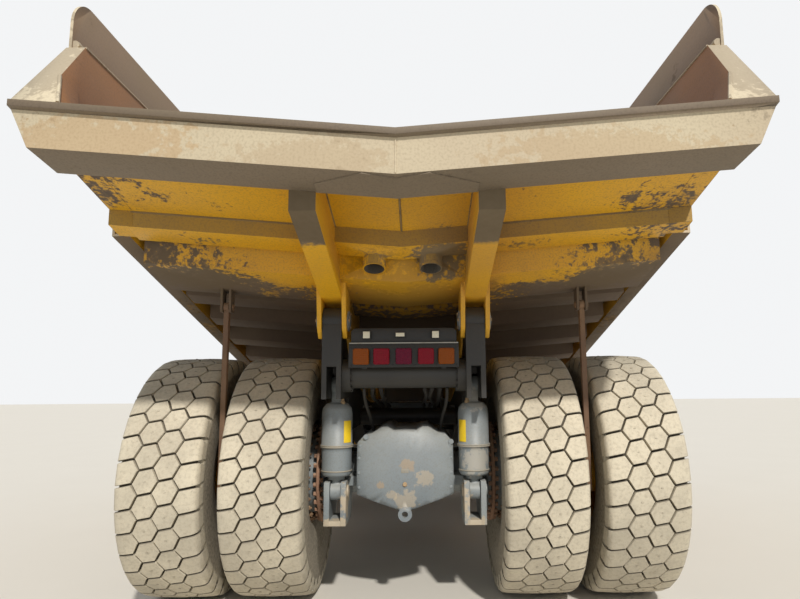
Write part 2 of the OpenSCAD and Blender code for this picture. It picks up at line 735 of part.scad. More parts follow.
module front_ladders() color(dark) both_sides() {
    for (x = [1480, 1930])
        across(x, x + 40, [[rail_front_y, 500], [rail_front_y + 80, 500], [rail_front_y + 80, 1300],
            [nose_y + 480, deck_z + deck_t], [nose_y + 400, deck_z + deck_t], [rail_front_y, 1300]]);
    for (i = [0:6])
        box(1519, 1931, rail_front_y + 12 + max(0, i - 2) * 18, rail_front_y + 68 + max(0, i - 2) * 18,
            560 + i * 270, 590 + i * 270);
}

rail_r = 20;
hand_h = 1000;

module handrails() color(yellow) both_sides() {
    for (y = [deck_front_y + 500, deck_front_y + 1250, deck_front_y + 2000, deck_back_y - 60])
        bar([deck_half - 30, y, deck_z + deck_t], [deck_half - 30, y, deck_z + deck_t + hand_h], rail_r);
    for (h = [500, hand_h])
        bar([deck_half - 30, deck_front_y + 500, deck_z + deck_t + h],
            [deck_half - 30, deck_back_y - 60, deck_z + deck_t + h], rail_r);
}

cab_x1 = cab_x0 + cab_w;
cab_y0 = deck_back_y - 2000;
cab_y1 = cab_y0 + 1600;
cab_z0 = deck_z + deck_t;
cab_z1 = cab_z0 + cab_h;
cab_wall = 70;
door_y0 = cab_y0 + 420;
door_y1 = door_y0 + 560;
door_z0 = cab_z0 + 90;
door_z1 = cab_z1 - 110;

module cab_profile(inset)
    polygon([[cab_y0 + inset, cab_z0 + inset], [cab_y1 - inset, cab_z0 + inset],
        [cab_y1 - inset, cab_z1 - inset], [cab_y0 + 180 + inset, cab_z1 - inset]]);

module cab_body(inset)
    translate([cab_x0 + inset, 0, 0]) rotate([90, 0, 90]) linear_extrude(cab_w - 2 * inset) cab_profile(inset);

module cab_windows() {
    // Windscreen and rear window
    box(cab_x0 + 110, cab_x1 - 110, cab_y0 - 10, cab_y0 + 240, cab_z0 + 520, cab_z1 - 130);
    box(cab_x0 + 200, cab_x1 - 200, cab_y1 - cab_wall - 10, cab_y1 + 10, cab_z0 + 600, cab_z1 - 150);
    // Side windows
    box(cab_x0 - 10, cab_x0 + cab_wall + 10, cab_y0 + 330, cab_y1 - 200, cab_z0 + 560, cab_z1 - 150);
    box(cab_x1 - cab_wall - 10, cab_x1 + 10, door_y1 + 110, cab_y1 - 120, cab_z0 + 560, cab_z1 - 150);
}

module cab_shell() color(yellow) {
    difference() {
        cab_body(0);
        cab_body(cab_wall);
        cab_windows();
        box(cab_x1 - cab_wall - 10, cab_x1 + 10, door_y0, door_y1, door_z0, door_z1);
    }
    // Hinge pins of the door, each in two lugs
    for (z = hinge_zs) {
        translate([hinge_x, hinge_y, z - 25]) cylinder(h = hinge_h + 50, r = hinge_pin_r);
        for (zz = [z - 25, z + hinge_h + 5])
            box(cab_x1 - 1, hinge_x + 14, hinge_y - 12, hinge_y + 14, zz, zz + 20);
    }
}

module cab_glass() color([0.3, 0.4, 0.45, 0.5])
    intersection() {
        difference() {
            cab_body(25);
            cab_body(45);
        }
        cab_windows();
    }

door_t = 50;

module door_window(grow)
    box(cab_x1 - 200, cab_x1 + 10, door_y0 + 90 - grow, door_y1 - 90 + grow, door_z0 + 480 - grow, door_z1 - 80 + grow);

hinge_r = 22;
hinge_pin_r = 10;
hinge_x = cab_x1 + 28;
hinge_y = door_y1 + 12;
hinge_zs = [door_z0 + 150, door_z1 - 230];
hinge_h = 80;

module cab_door() color(yellow)
    difference() {
        union() {
            box(cab_x1 - door_t, cab_x1 - 0.5, door_y0 + 6, door_y1 - 6, door_z0 + 6, door_z1 - 6);
            for (z = hinge_zs) {
                translate([hinge_x, hinge_y, z]) cylinder(h = hinge_h, r = hinge_r);
                box(cab_x1 - 20, cab_x1 + 30, door_y1 - 40, door_y1 - 6, z, z + hinge_h);
                box(cab_x1 + 6, cab_x1 + 30, door_y1 - 7, hinge_y, z, z + hinge_h);
            }
        }
        door_window(0);
        for (z = hinge_zs)
            translate([hinge_x, hinge_y, z - 1]) cylinder(h = hinge_h + 2, r = hinge_pin_r + pin_gap);
    }

module door_glass() color([0.3, 0.4, 0.45, 0.5])
    box(cab_x1 - 35, cab_x1 - 22, door_y0 + 90, door_y1 - 90, door_z0 + 480, door_z1 - 80);

module cab_seat() color(dark) {
    sx = cab_x0 + cab_w / 2;
    box(sx - 230, sx + 230, cab_y0 + 850, cab_y0 + 1300, cab_z0 + cab_wall, cab_z0 + 480);
    box(sx - 230, sx + 230, cab_y0 + 1180, cab_y0 + 1300, cab_z0 + 480, cab_z0 + 1150);
    box(cab_x0 + 250, cab_x1 - 250, cab_y0 + 155, cab_y0 + 400, cab_z0 + cab_wall, cab_z0 + 620);
}

module tank()
    box(foot_x1, 2050, rear_y - 2760, rear_y - 1300, 950, 1800);

module fuel_tank() color(yellow) tank();

module hydraulic_tank() color(yellow) mirror([1, 0, 0]) tank();

module air_cleaners() color(dark)
    for (x = [-1250, -750])
        translate([x, nose_y + 1150, cab_z0]) cylinder(h = 650, r = 190);

module exhaust() color(dark)
    bar([-deck_half + 600, deck_back_y - 250, cab_z0], [-deck_half + 600, deck_back_y - 250, cab_z0 + 900], 90);

module mirrors() color(dark) both_sides() {
    bar([deck_half - 30, deck_front_y + 400, deck_z + deck_t], [deck_half - 30, deck_front_y + 400, 3800], rail_r);
    box(deck_half + 50, deck_half + 330, deck_front_y + 370, deck_front_y + 430, 3300, 3780);
    bar([deck_half - 30, deck_front_y + 400, 3500], [deck_half + 51, deck_front_y + 400, 3500], 15);
}

// Tail lamps
lamp_w = 145;
lamp_y = pivot_y + 110;
lamp_z = 2135;
lamp_xs = [-350, -183, 0, 183, 350];

module tail_lamp_bar() color(dark)
    difference() {
        union() {
            box(-455, 455, lamp_y - 40, lamp_y, lamp_z - 90, lamp_z + 90);
            box(-455, 455, lamp_y - 60, lamp_y - 20, lamp_z + 89, lamp_z + 115);
            for (x = [-330, 330])
                box(x - 20, x + 20, tube_y + 20, lamp_y - 39, tube_z + 50, lamp_z + 60);
        }
        bar_x(-500, 500, tube_y, tube_z, tube_r + seat_gap);
    }

module tail_lamps() color("red")
    for (x = lamp_xs)
        box(x - lamp_w / 2, x + lamp_w / 2, lamp_y, lamp_y + 45, lamp_z - lamp_w / 2, lamp_z + lamp_w / 2);

frame_rails();
frame_crossmembers();
rear_axle_housing();
axle_a_frame();
axle_pin();
bed_pads();
rear_struts();
front_struts();
front_lower_arms();
engine_block();
drive_line();
front_bumper();
radiator_grille();
deck();
front_ladders();
handrails();
cab_shell();
cab_glass();
cab_seat();
fuel_tank();
hydraulic_tank();
air_cleaners();
exhaust();
head_lamps();
mirrors();
tail_lamp_bar();
tail_lamps();
bed_floor();
bed_bolsters();
bed_side_left();
bed_side_right();
bed_front_wall();
cab_door();
door_glass();
hoist_barrel();  // hoist_barrel_left
mirror([1, 0, 0]) hoist_barrel();  // hoist_barrel_right
hoist_stage();  // hoist_stage_left
mirror([1, 0, 0]) hoist_stage();  // hoist_stage_right
hoist_rod();  // hoist_rod_left
mirror([1, 0, 0]) hoist_rod();  // hoist_rod_right
rock_ejector();  // rock_ejector_left
mirror([1, 0, 0]) rock_ejector();  // rock_ejector_right
knuckle();  // knuckle_left
mirror([1, 0, 0]) knuckle();  // knuckle_right
tie_rod();
translate([0, front_y, 0]) tyre(front_track / 2);  // front_tyre_left
translate([0, front_y, 0]) tyre(-front_track / 2);  // front_tyre_right
front_rim();  // front_rim_left
mirror([1, 0, 0]) front_rim();  // front_rim_right
translate([0, rear_y, 0]) { tyre(inner_x); tyre(outer_x); }  // rear_tyres_left
translate([0, rear_y, 0]) { tyre(-inner_x); tyre(-outer_x); }  // rear_tyres_right
rear_rims();  // rear_rims_left
mirror([1, 0, 0]) rear_rims();  // rear_rims_right
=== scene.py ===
"""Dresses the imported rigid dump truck: studio, finishes and the pieces that its solids leave out.

Metres, in the frame of the solids: +Z up, nose towards -Y, tail towards +Y, +X the truck's own left.
"""

import json
import logging
import math
from dataclasses import dataclass
from enum import Enum
from typing import Callable, Iterable, Sequence

import bmesh
import bpy
from mathutils import Matrix, Vector

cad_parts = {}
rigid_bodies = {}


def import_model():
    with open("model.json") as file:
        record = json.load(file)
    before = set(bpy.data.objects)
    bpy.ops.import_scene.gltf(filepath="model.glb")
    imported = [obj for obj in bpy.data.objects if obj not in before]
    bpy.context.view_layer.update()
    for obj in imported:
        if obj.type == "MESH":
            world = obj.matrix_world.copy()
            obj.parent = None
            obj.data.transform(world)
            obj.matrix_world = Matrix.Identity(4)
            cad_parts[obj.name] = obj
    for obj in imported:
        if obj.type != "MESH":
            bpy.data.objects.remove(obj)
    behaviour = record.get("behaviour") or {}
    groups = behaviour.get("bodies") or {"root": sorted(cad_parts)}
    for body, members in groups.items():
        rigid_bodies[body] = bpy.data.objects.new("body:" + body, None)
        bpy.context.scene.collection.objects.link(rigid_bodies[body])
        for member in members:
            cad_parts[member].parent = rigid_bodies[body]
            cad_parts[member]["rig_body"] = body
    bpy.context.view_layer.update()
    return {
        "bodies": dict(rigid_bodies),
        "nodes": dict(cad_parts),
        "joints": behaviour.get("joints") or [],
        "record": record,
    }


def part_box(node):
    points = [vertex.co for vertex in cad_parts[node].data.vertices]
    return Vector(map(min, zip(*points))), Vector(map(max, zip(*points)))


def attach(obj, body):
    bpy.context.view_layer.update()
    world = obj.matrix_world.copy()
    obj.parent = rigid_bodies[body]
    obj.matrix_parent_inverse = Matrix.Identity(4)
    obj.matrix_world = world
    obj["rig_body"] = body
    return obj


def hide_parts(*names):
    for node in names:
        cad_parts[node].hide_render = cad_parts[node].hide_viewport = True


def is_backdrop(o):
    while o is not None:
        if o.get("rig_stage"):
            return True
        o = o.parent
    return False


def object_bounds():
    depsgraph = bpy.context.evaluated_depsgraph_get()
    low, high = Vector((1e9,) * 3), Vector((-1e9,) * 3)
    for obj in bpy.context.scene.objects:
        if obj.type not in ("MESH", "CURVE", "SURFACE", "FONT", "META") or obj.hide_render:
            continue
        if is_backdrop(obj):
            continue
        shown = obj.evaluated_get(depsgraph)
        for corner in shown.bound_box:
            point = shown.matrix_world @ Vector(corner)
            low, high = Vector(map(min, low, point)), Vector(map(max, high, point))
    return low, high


LOG = logging.getLogger("dump_truck")
Object = bpy.types.Object
# A colour is a six-figure sRGB code
Colour = str
Point = tuple[float, float, float]
SIDES = (("left", 1), ("right", -1))


def tone(code: Colour) -> tuple[float, ...]:
    """Linear light of a colour.

    Args:
        code: its six-figure sRGB code.

    Returns:
        Red, green, blue and a full alpha.
    """
    shares = [int(code[i:i + 2], 16) / 255 for i in (0, 2, 4)]
    return (*(v / 12.92 if v <= 0.04045 else ((v + 0.055) / 1.055) ** 2.4 for v in shares), 1.0)


def between(knots: Sequence[tuple[float, float]], place: float) -> float:
    """Value at a place, straight from knot to knot and level past the last.

    Args:
        knots: places, in order, and their values.
        place: where it is wanted.

    Returns:
        The value.
    """
    for (p0, v0), (p1, v1) in zip(knots, knots[1:]):
        if place <= p1:
            return v0 + (v1 - v0) * (place - p0) / (p1 - p0)
    return knots[-1][1]


# Shader maths

class Wire:
    """A socket whose arithmetic adds Math nodes to its material."""

    def __init__(self, graph: "Graph", socket: bpy.types.NodeSocket) -> None:
        """Keeps the material's graph and the socket."""
        self.graph = graph
        self.socket = socket

    def _math(self, operation: str, *values: "Wire | float") -> "Wire":
        """A Math node on the given values, in order."""
        return self.graph.wire("ShaderNodeMath", {"operation": operation}, dict(enumerate(values)))

    def __add__(self, other: "Wire | float") -> "Wire":
        """Sum."""
        return self._math("ADD", self, other)

    def __sub__(self, other: "Wire | float") -> "Wire":
        """Difference."""
        return self._math("SUBTRACT", self, other)

    def __rsub__(self, other: float) -> "Wire":
        """A number less this value."""
        return self._math("SUBTRACT", other, self)

    def __mul__(self, other: "Wire | float") -> "Wire":
        """Product."""
        return self._math("MULTIPLY", self, other)

    __radd__ = __add__
    __rmul__ = __mul__

    def __abs__(self) -> "Wire":
        """Size without its sign."""
        return self._math("ABSOLUTE", self)

    def most(self, other: "Wire | float") -> "Wire":
        """The larger of two values."""
        return self._math("MAXIMUM", self, other)

    def root(self) -> "Wire":
        """Square root."""
        return self._math("SQRT", self)

    def sine(self) -> "Wire":
        """Sine."""
        return self._math("SINE", self)

    def step(self, low: float, high: float) -> "Wire":
        """0 up to low, 1 from high, and a smooth rise between."""
        return self.graph.wire(
            "ShaderNodeMapRange", {"interpolation_type": "SMOOTHSTEP", "clamp": True},
            {"Value": self, "From Min": low, "From Max": high}, "Result")


class Graph:
    """The nodes of one material."""

    def __init__(self, name: str) -> None:
        """Starts a material with an empty tree.

        Args:
            name: the material's name.
        """
        self.material = bpy.data.materials.new(name)
        self.material.use_nodes = True
        self.tree = self.material.node_tree
        self.tree.nodes.clear()
        coords = self.add("ShaderNodeTexCoord").outputs
        self.here, self.normal = Wire(self, coords["Object"]), Wire(self, coords["Normal"])

    def add(self, kind: str, settings: dict | None = None, values: dict | None = None) -> bpy.types.Node:
        """A node with its settings, then its sockets' values or links.

        Args:
            kind: the node's type.
            settings: attributes, set first.
            values: socket names or numbers to a number, a colour, a vector or a Wire.

        Returns:
            The node.
        """
        node = self.tree.nodes.new(kind)
        for key, value in (settings or {}).items():
            setattr(node, key, value)
        for key, value in (values or {}).items():
            if isinstance(value, Wire):
                self.tree.links.new(value.socket, node.inputs[key])
            elif isinstance(value, str):
                node.inputs[key].default_value = tone(value)
            else:
                node.inputs[key].default_value = value
        return node

    def wire(self, kind: str, settings: dict | None, values: dict, out: int | str = 0) -> Wire:
        """A node's output, the node made as by add."""
        return Wire(self, self.add(kind, settings, values).outputs[out])

    def vector(self, operation: str, *values: Wire | Point, out: int | str = 0) -> Wire:
        """A Vector Math node on the given values, in order."""
        return self.wire("ShaderNodeVectorMath", {"operation": operation}, dict(enumerate(values)), out)

    def place(self, stretch: Point = (1, 1, 1), shift: Point = (0, 0, 0)) -> Wire:
        """Object coordinates, shifted and then scaled."""
        return self.vector("MULTIPLY", self.vector("SUBTRACT", self.here, shift), stretch)

    def axes(self, vector: Wire) -> tuple[Wire, Wire, Wire]:
        """The three numbers of a vector."""
        node = self.add("ShaderNodeSeparateXYZ", None, {0: vector})
        return tuple(Wire(self, s) for s in node.outputs)

    def facing(self) -> tuple[Wire, Wire, Wire]:
        """Which way the surface faces, in the piece's own frame."""
        return self.axes(self.normal)

    def noise(self, scale: float, detail: float = 5.0, rough: float = 0.6, stretch: Point = (1, 1, 1),
              shift: Point = (0, 0, 0)) -> Wire:
        """Cloudy noise round 0.5."""
        return self.wire(
            "ShaderNodeTexNoise", None,
            {"Vector": self.place(stretch, shift), "Scale": scale, "Detail": detail, "Roughness": rough})

    def spot(self, centre: Point, reach: Point) -> Wire:
        """Distance from a point, which is 1 at the given reach along each axis."""
        return self.vector("LENGTH", self.place(tuple(1 / r for r in reach), centre), out="Value")

    def edges(self, radius: float) -> Wire:
        """1 where the surface bends sharply within the radius, 0 on flats.

        Args:
            radius: how near a bend counts, in metres.

        Returns:
            The value.
        """
        soft = self.wire("ShaderNodeBevel", {"samples": 4}, {"Radius": radius})
        hard = self.wire("ShaderNodeNewGeometry", None, {}, "Normal")
        return (1 - self.vector("DOT_PRODUCT", soft, hard, out="Value")).step(0.02, 0.25)

    def mix(self, share: "Wire | float", first: "Wire | Colour", second: "Wire | Colour") -> Wire:
        """A colour between two."""
        return self.wire("ShaderNodeMix", {"data_type": "RGBA"}, {0: share, 6: first, 7: second}, 2)

    def finish(self, colour: "Wire | Colour", rough: "Wire | float", relief: "Wire | None" = None,
               strength: float = 0.3, depth: float = 0.01, **fixed: float) -> bpy.types.Material:
        """Closes the tree with a Principled shader.

        Args:
            colour: base colour.
            rough: roughness.
            relief: height for a Bump node.
            strength: the bump's strength.
            depth: the bump's height in metres.
            fixed: further sockets by name, with underscores for spaces.

        Returns:
            The finished material.
        """
        values = {"Base Color": colour, "Roughness": rough}
        values.update({key.replace("_", " "): value for key, value in fixed.items()})
        if relief is not None:
            values["Normal"] = self.wire(
                "ShaderNodeBump", None, {"Height": relief, "Strength": strength, "Distance": depth})
        shader = self.add("ShaderNodeBsdfPrincipled", None, values)
        out = self.add("ShaderNodeOutputMaterial")
        self.tree.links.new(shader.outputs[0], out.inputs["Surface"])
        return self.material


# Finishes

class Along(Enum):
    """What a finish's drift runs along."""
    LENGTH = 1
    HEIGHT = 2
    OUTWARD = 3


@dataclass(frozen=True)
class Drift:
    """More wear or grime towards one end of an axis, from start to end; on the bed's underside it also adds
    painted shade.
    """
    along: Along
    start: float
    end: float
    gain: float


@dataclass(frozen=True)
class Blot:
    """A stain with a ragged edge at one place, such as soot or rust; one patch of painted shade is made the
    same way.
    """
    centre: Point
    reach: Point
    colour: Colour
    share: float = 0.85


@dataclass(frozen=True)
class Coat:
    """Paint or bare steel with the wear, grime and dust of quarry work; some coats also carry painted shade
    in their colours.
    """
    name: str
    base: Colour
    faded: Colour
    under: Colour
    grime: Colour
    dust: Colour
    worn: float = 0.2
    grimy: float = 0.35
    dusty: float = 0.5
    rough: float = 0.5
    metal: float = 0.0
    size: float = 1.0
    relief: float = 0.35
    scratch: Point = (1.0, 1.0, 1.0)
    ragged: float = 0.06
    grain: float = 0.18
    checks: float = 0.0
    drifts: tuple[Drift, ...] = ()
    blots: tuple[Blot, ...] = ()

    def build(self) -> bpy.types.Material:
        """The material, its patterns in metres on Object coordinates.

        Returns:
            The material.
        """
        g = Graph(self.name)
        here = g.axes(g.place())
        lift = g.facing()[2]
        reach = {Along.LENGTH: here[1], Along.HEIGHT: here[2], Along.OUTWARD: abs(here[0])}
        broad = g.noise(0.9 * self.size, 3, 0.5)
        patch = g.noise(1.7 * self.size, 9, 0.68, shift=(3.1, 1.7, 0.4))
        fine = g.noise(21 * self.size, 6, 0.6, self.scratch)
        speck = g.noise(70 * self.size, 3, 0.5)
        streak = g.noise(5 * self.size, 5, 0.6, (1.0, 1.0, 0.12))
        bias = None
        for drift in self.drifts:
            part = reach[drift.along].step(drift.start, drift.end) * drift.gain
            bias = part if bias is None else bias + part
        loss = patch * 0.64 + fine * 0.36 + g.edges(0.012) * 0.10
        soil = patch * 0.35 + streak * 0.3 + broad * 0.35
        if bias is not None:
            loss = loss + bias
            soil = soil + bias
        bare = loss.step(0.72 - 0.3 * self.worn, 0.72 + self.ragged - 0.3 * self.worn)
        dirt = soil.step(0.72 - 0.4 * self.grimy, 0.95 - 0.4 * self.grimy) * 0.85
        powder = (lift.step(-0.2, 0.9) * 0.75 + broad.step(0.35, 0.75) * 0.4 + fine * 0.15) * self.dusty
        colour = g.mix(broad.step(0.3, 0.7), self.base, self.faded)
        colour = g.mix(speck.step(0.42, 0.72) * self.grain, colour, self.grime)
        colour = g.mix(bare, colour, g.mix(fine.step(0.35, 0.65), self.under, self.grime))
        colour = g.mix(dirt, colour, self.grime)
        colour = g.mix(powder, colour, self.dust)
        for blot in self.blots:
            ragged = patch * 1.6 + fine * 2.6 - 2.1
            mask = (1 - g.spot(blot.centre, blot.reach) + ragged).step(0.0, 0.35) * blot.share
            colour = g.mix(mask, colour, blot.colour)
        rough = (bare * 0.16 + powder * 0.28 + dirt * 0.2 + fine * 0.12 + (self.rough - 0.06))
        relief = fine * 0.5 + speck * 0.3 - bare * 0.35
        if self.checks:
            pitch = 118.0
            rise = ((here[0] + here[1]) * pitch).sine() * ((here[0] - here[1]) * pitch).sine()
            relief = relief + rise.most(0.25) * self.checks
        return g.finish(colour, rough, relief, self.relief, 0.004, Metallic=self.metal)


@dataclass(frozen=True)
class Tread:
    """Worn tyre rubber, dusty on the blocks and dark in the grooves, about one axle."""
    name: str
    axle: Point
    top: Colour
    worn: Colour
    groove: Colour
    wall: Colour
    outer: float = 1.085

    def build(self) -> bpy.types.Material:
        """The material: blocks and walls dusty, their flanks and the grooves dark.

        Returns:
            The material.
        """
        g = Graph(self.name)
        place = g.axes(g.place(shift=self.axle))
        face = g.facing()
        radius = (place[1] * place[1] + place[2] * place[2]).root()
        outward = (face[1] * place[1] + face[2] * place[2]) * 0.95
        flank = abs(face[2] * place[1] - face[1] * place[2]).step(0.45, 0.85)
        broad = g.noise(1.6, 4, 0.55)
        fine = g.noise(38, 6, 0.65)
        grit = g.noise(150, 2, 0.5)
        deep = outward.step(0.75, 0.93) * (1 - radius.step(self.outer - 0.037, self.outer - 0.028))
        side = abs(face[0]).step(0.55, 0.9) * (1 - radius.step(self.outer - 0.17, self.outer - 0.12))
        colour = g.mix(broad.step(0.32, 0.68), self.top, self.worn)
        colour = g.mix(fine.step(0.42, 0.75) * 0.45, colour, self.wall)
        colour = g.mix(side * 0.75, colour, g.mix(fine.step(0.3, 0.8), self.wall, self.groove))
        colour = g.mix(
            deep.most(flank * 0.85), colour, g.mix(broad.step(0.3, 0.7) * 0.7, self.groove, self.wall))
        colour = g.mix(grit.step(0.6, 0.75) * 0.3, colour, self.groove)
        return g.finish(colour, 0.86 + fine * 0.1, fine * 0.7 + grit * 0.3, 0.5, 0.004)


@dataclass(frozen=True)
class Glass:
    """Tinted glass with a film of dust."""
    name: str
    tint: Colour
    clear: float = 0.35

    def build(self) -> bpy.types.Material:
        """The material, see-through by its alpha.

        Returns:
            The material.
        """
        g = Graph(self.name)
        film = g.noise(3.0, 6, 0.65)
        alpha = film.step(0.3, 0.9) * 0.3 + self.clear
        colour = g.mix(film.step(0.4, 0.9) * 0.35, self.tint, "A59C88")
        return g.finish(colour, film * 0.18 + 0.04, Alpha=alpha)


@dataclass(frozen=True)
class Lens:
    """A ribbed lamp lens."""
    name: str
    colour: Colour

    def build(self) -> bpy.types.Material:
        """The material, with the fine ribs in its bump.

        Returns:
            The material.
        """
        g = Graph(self.name)
        x, _, z = g.axes(g.place())
        film = g.noise(26, 5, 0.6)
        pitch = 380.0
        ribs = (x * pitch).sine() * 0.5 + (z * pitch).sine() * 0.5
        colour = g.mix(film.step(0.5, 0.9) * 0.15, self.colour, "6B5A48")
        return g.finish(colour, film * 0.3 + 0.15, ribs, 0.35, 0.002, Specular_IOR_Level=0.2)


@dataclass(frozen=True)
class Chrome:
    """A polished cylinder rod with an oil film."""
    name: str

    def build(self) -> bpy.types.Material:
        """The material.

        Returns:
            The material.
        """
        g = Graph(self.name)
        film = g.noise(9, 5, 0.6, (1, 1, 0.3))
        colour = g.mix(film.step(0.5, 0.8) * 0.5, "C9CACB", "7C766C")
        return g.finish(colour, film * 0.3 + 0.05, g.noise(120, 2), 0.05, 0.001, Metallic=1.0)


@dataclass(frozen=True)
class Cloth:
    """Woven seat cloth."""
    name: str

    def build(self) -> bpy.types.Material:
        """The material, its weave in the bump.

        Returns:
            The material.
        """
        g = Graph(self.name)
        x, y, z = g.axes(g.place())
        pitch = 900.0
        weave = (x * pitch).sine() * (y * pitch + z * pitch).sine()
        blotch = g.noise(6, 5)
        colour = g.mix(blotch.step(0.35, 0.75), "26272B", "45433F")
        return g.finish(colour, 0.85 + blotch * 0.1, weave, 0.3, 0.001)


YELLOW, YELLOW_FADED = "DFA90D", "CC9610"
PRIMER = "75664F"
MUD, DRY_DUST = "554636", "AFA288"
GREY_PAINT, GREY_FADED = "667077", "7E878A"
BLACK_PAINT, BLACK_FADED = "202225", "303235"
RUST, RUST_DARK = "8A5A36", "4E3423"


class Palette:
    """Every finish, built once."""

    def __init__(self, front_axle: Point, rear_axle: Point) -> None:
        """Builds the materials; the tyres' grooves are told apart by their distance from an axle.

        Args:
            front_axle: middle of the front axle.
            rear_axle: middle of the rear axle.
        """
        tread = {"top": "CAC1AC", "worn": "B0A896", "groove": "3F3930", "wall": "8A8171"}
        # Name; base, faded, under, grime and dust colours; worn, grimy, dusty, rough; what else differs
        coats = (Coat("yellow_paint", YELLOW, YELLOW_FADED, PRIMER, MUD, DRY_DUST, 0.1, 0.25, 0.3, 0.42),
                 Coat("bed_underside", YELLOW, YELLOW_FADED, "6F5E45", "57473A", DRY_DUST, 0.38, 0.38, 0.22,
                      0.5, grain=0.3, ragged=0.05, blots=self.underside_stains_and_shade(),
                      # Along the length, grime and wear grow towards the front, partly dirt and partly
                      # painted shade deeper under the bed
                      drifts=(Drift(Along.OUTWARD, 0.9, 2.3, 0.12), Drift(Along.LENGTH, 3.3, 2.6, 0.22),
                              Drift(Along.LENGTH, 2.6, 2.3, 0.2))),
                 Coat("bed_outer", YELLOW, YELLOW_FADED, PRIMER, MUD, DRY_DUST, 0.2, 0.35, 0.35, 0.48,
                      drifts=(Drift(Along.HEIGHT, 2.9, 2.0, 0.12),)),
                 Coat("bolster_paint", YELLOW, YELLOW_FADED, "7B6C57", "62543F", DRY_DUST, 0.3, 0.35, 0.25,
                      0.5, ragged=0.10, drifts=(Drift(Along.LENGTH, 3.78, 3.98, 0.4),)),
                 Coat("tail_steel", "C6BA9F", "B6A68D", "96846E", "7F6E5A", "CFC4AC", 0.5, 0.3, 0.45, 0.68,
                      size=0.9, relief=0.45, grain=0.28, ragged=0.2,
                      blots=(Blot((2.2, 4.3, 4.0), (0.3, 0.6, 0.5), "8A7D6A", 0.6),
                             Blot((-2.2, 4.3, 4.0), (0.3, 0.6, 0.5), "8A7D6A", 0.6),
                             Blot((1.75, 4.54, 3.30), (0.55, 0.3, 0.22), "B08A58", 0.4),
                             Blot((0.55, 4.54, 3.20), (0.5, 0.3, 0.16), "A89070", 0.35),
                             Blot((-1.3, 4.54, 3.25), (0.8, 0.3, 0.16), "A8895F", 0.35))),
                 # The tail beam's downward faces and the doubler: a darker, dusty brown that is painted shade
                 Coat("beam_under", "807260", "736655", "8C7C64", "5B4E41", "968A70", 0.4, 0.4, 0.25, 0.66,
                      grain=0.4, ragged=0.12),
                 # The lip's rear face, painted dark as the shadow under the floor plate's overhang
                 Coat("lip_edge", "655747", "574A3D", "84745E", "453A30", "A39476", 0.35, 0.4, 0.35, 0.6,
                      grain=0.4),
                 Coat("load_steel", "8C5D34", "7A5638", "9C7850", "54402E", "A58A64", 0.45, 0.42, 0.2, 0.6,
                      scratch=(3.0, 0.35, 1.0), grain=0.3),
                 Coat("board_steel", "735C48", "66533F", "8A7257", "4F4032", "A08A6C", 0.4, 0.4, 0.25, 0.62,
                      grain=0.35, scratch=(3.0, 0.35, 1.0)),
                 # The duct's downward faces: dirt, and a dark brown that is also painted shade
                 Coat("duct_dirt", "6B5A45", "5C4C3B", YELLOW_FADED, "4A3D30", DRY_DUST, 0.3, 0.5, 0.2, 0.68,
                      drifts=(Drift(Along.LENGTH, 2.7, 2.1, 0.1),)),
                 Coat("frame_black", "191B1E", "222426", "433E37", "28231D", DRY_DUST, 0.2, 0.5, 0.12, 0.5),
                 Coat("axle_grey", GREY_PAINT, GREY_FADED, "8D8475", "5F5B54", "AFABA0", 0.24, 0.32, 0.4,
                      0.44, relief=0.5, grain=0.3, ragged=0.1, blots=self.rust_blots(rear_axle)),
                 Coat("tail_black", "141517", "1D1E20", "3D3A35", "2A2722", "77705F", 0.15, 0.4, 0.15, 0.5),
                 Coat("ring_steel", "8E8C84", "7C7A72", "6B6152", MUD, DRY_DUST, 0.3, 0.35, 0.4, 0.5,
                      size=2.0),
                 Coat("rusty_bolts", "97725B", "83604A", "6A4A38", "4B382C", "B79C80", 0.45, 0.45, 0.4, 0.75,
                      size=3.0, relief=0.6, grain=0.4),
                 Coat("black_paint", BLACK_PAINT, BLACK_FADED, PRIMER, MUD, DRY_DUST, 0.1, 0.4, 0.35, 0.45),
                 Coat("dusty_iron", "8C7457", "A38B6B", RUST, RUST_DARK, "BCA682", 0.5, 0.45, 0.5, 0.75,
                      size=1.6, relief=0.6),
                 Coat("rusty_bar", "6A5140", "86684C", RUST, RUST_DARK, "A08A6C", 0.5, 0.5, 0.35, 0.7,
                      size=1.8, relief=0.55),
                 Coat("soot", "3C3833", "55504A", "6C665D", "201D1A", "8A8478", 0.4, 0.5, 0.3, 0.8, size=2.0),
                 Coat("label_yellow", "E8C60A", "DDB80C", PRIMER, MUD, DRY_DUST, 0.05, 0.2, 0.15, 0.35,
                      size=3.0),
                 Coat("seam_dirt", "7A6746", "8C774E", "5A4B38", "4A3E30", "9A8B70", 0.4, 0.5, 0.2, 0.7,
                      size=2.0),
                 Coat("plate_steel", "A3A29B", "8E8D86", "77726A", MUD, DRY_DUST, 0.3, 0.35, 0.25, 0.38,
                      metal=0.6, size=2.0),
                 Coat("grip_plate", "34373A", "484A4C", "8D8B84", MUD, DRY_DUST, 0.35, 0.4, 0.4, 0.5,
                      metal=0.3, relief=0.6, checks=2.2),
                 Coat("cab_plastic", "37383A", "424345", "55565A", MUD, DRY_DUST, 0.05, 0.2, 0.25, 0.6,
                      size=3.0),
                 # Rear faces of the first rib: scuffs, and a darker yellow that is painted shade
                 Coat("rib_scuffed", "A8842A", "8A6C33", "6B5A42", "5A4B39", DRY_DUST, 0.55, 0.45, 0.12, 0.58,
                      ragged=0.16, grain=0.35, scratch=(0.4, 1.0, 1.6)),
                 Coat("black_rubber", "171716", "222120", "302E2B", "332C24", "6E6656", 0.1, 0.35, 0.15, 0.7))
        self.all: dict[str, bpy.types.Material] = {coat.name: coat.build() for coat in coats}
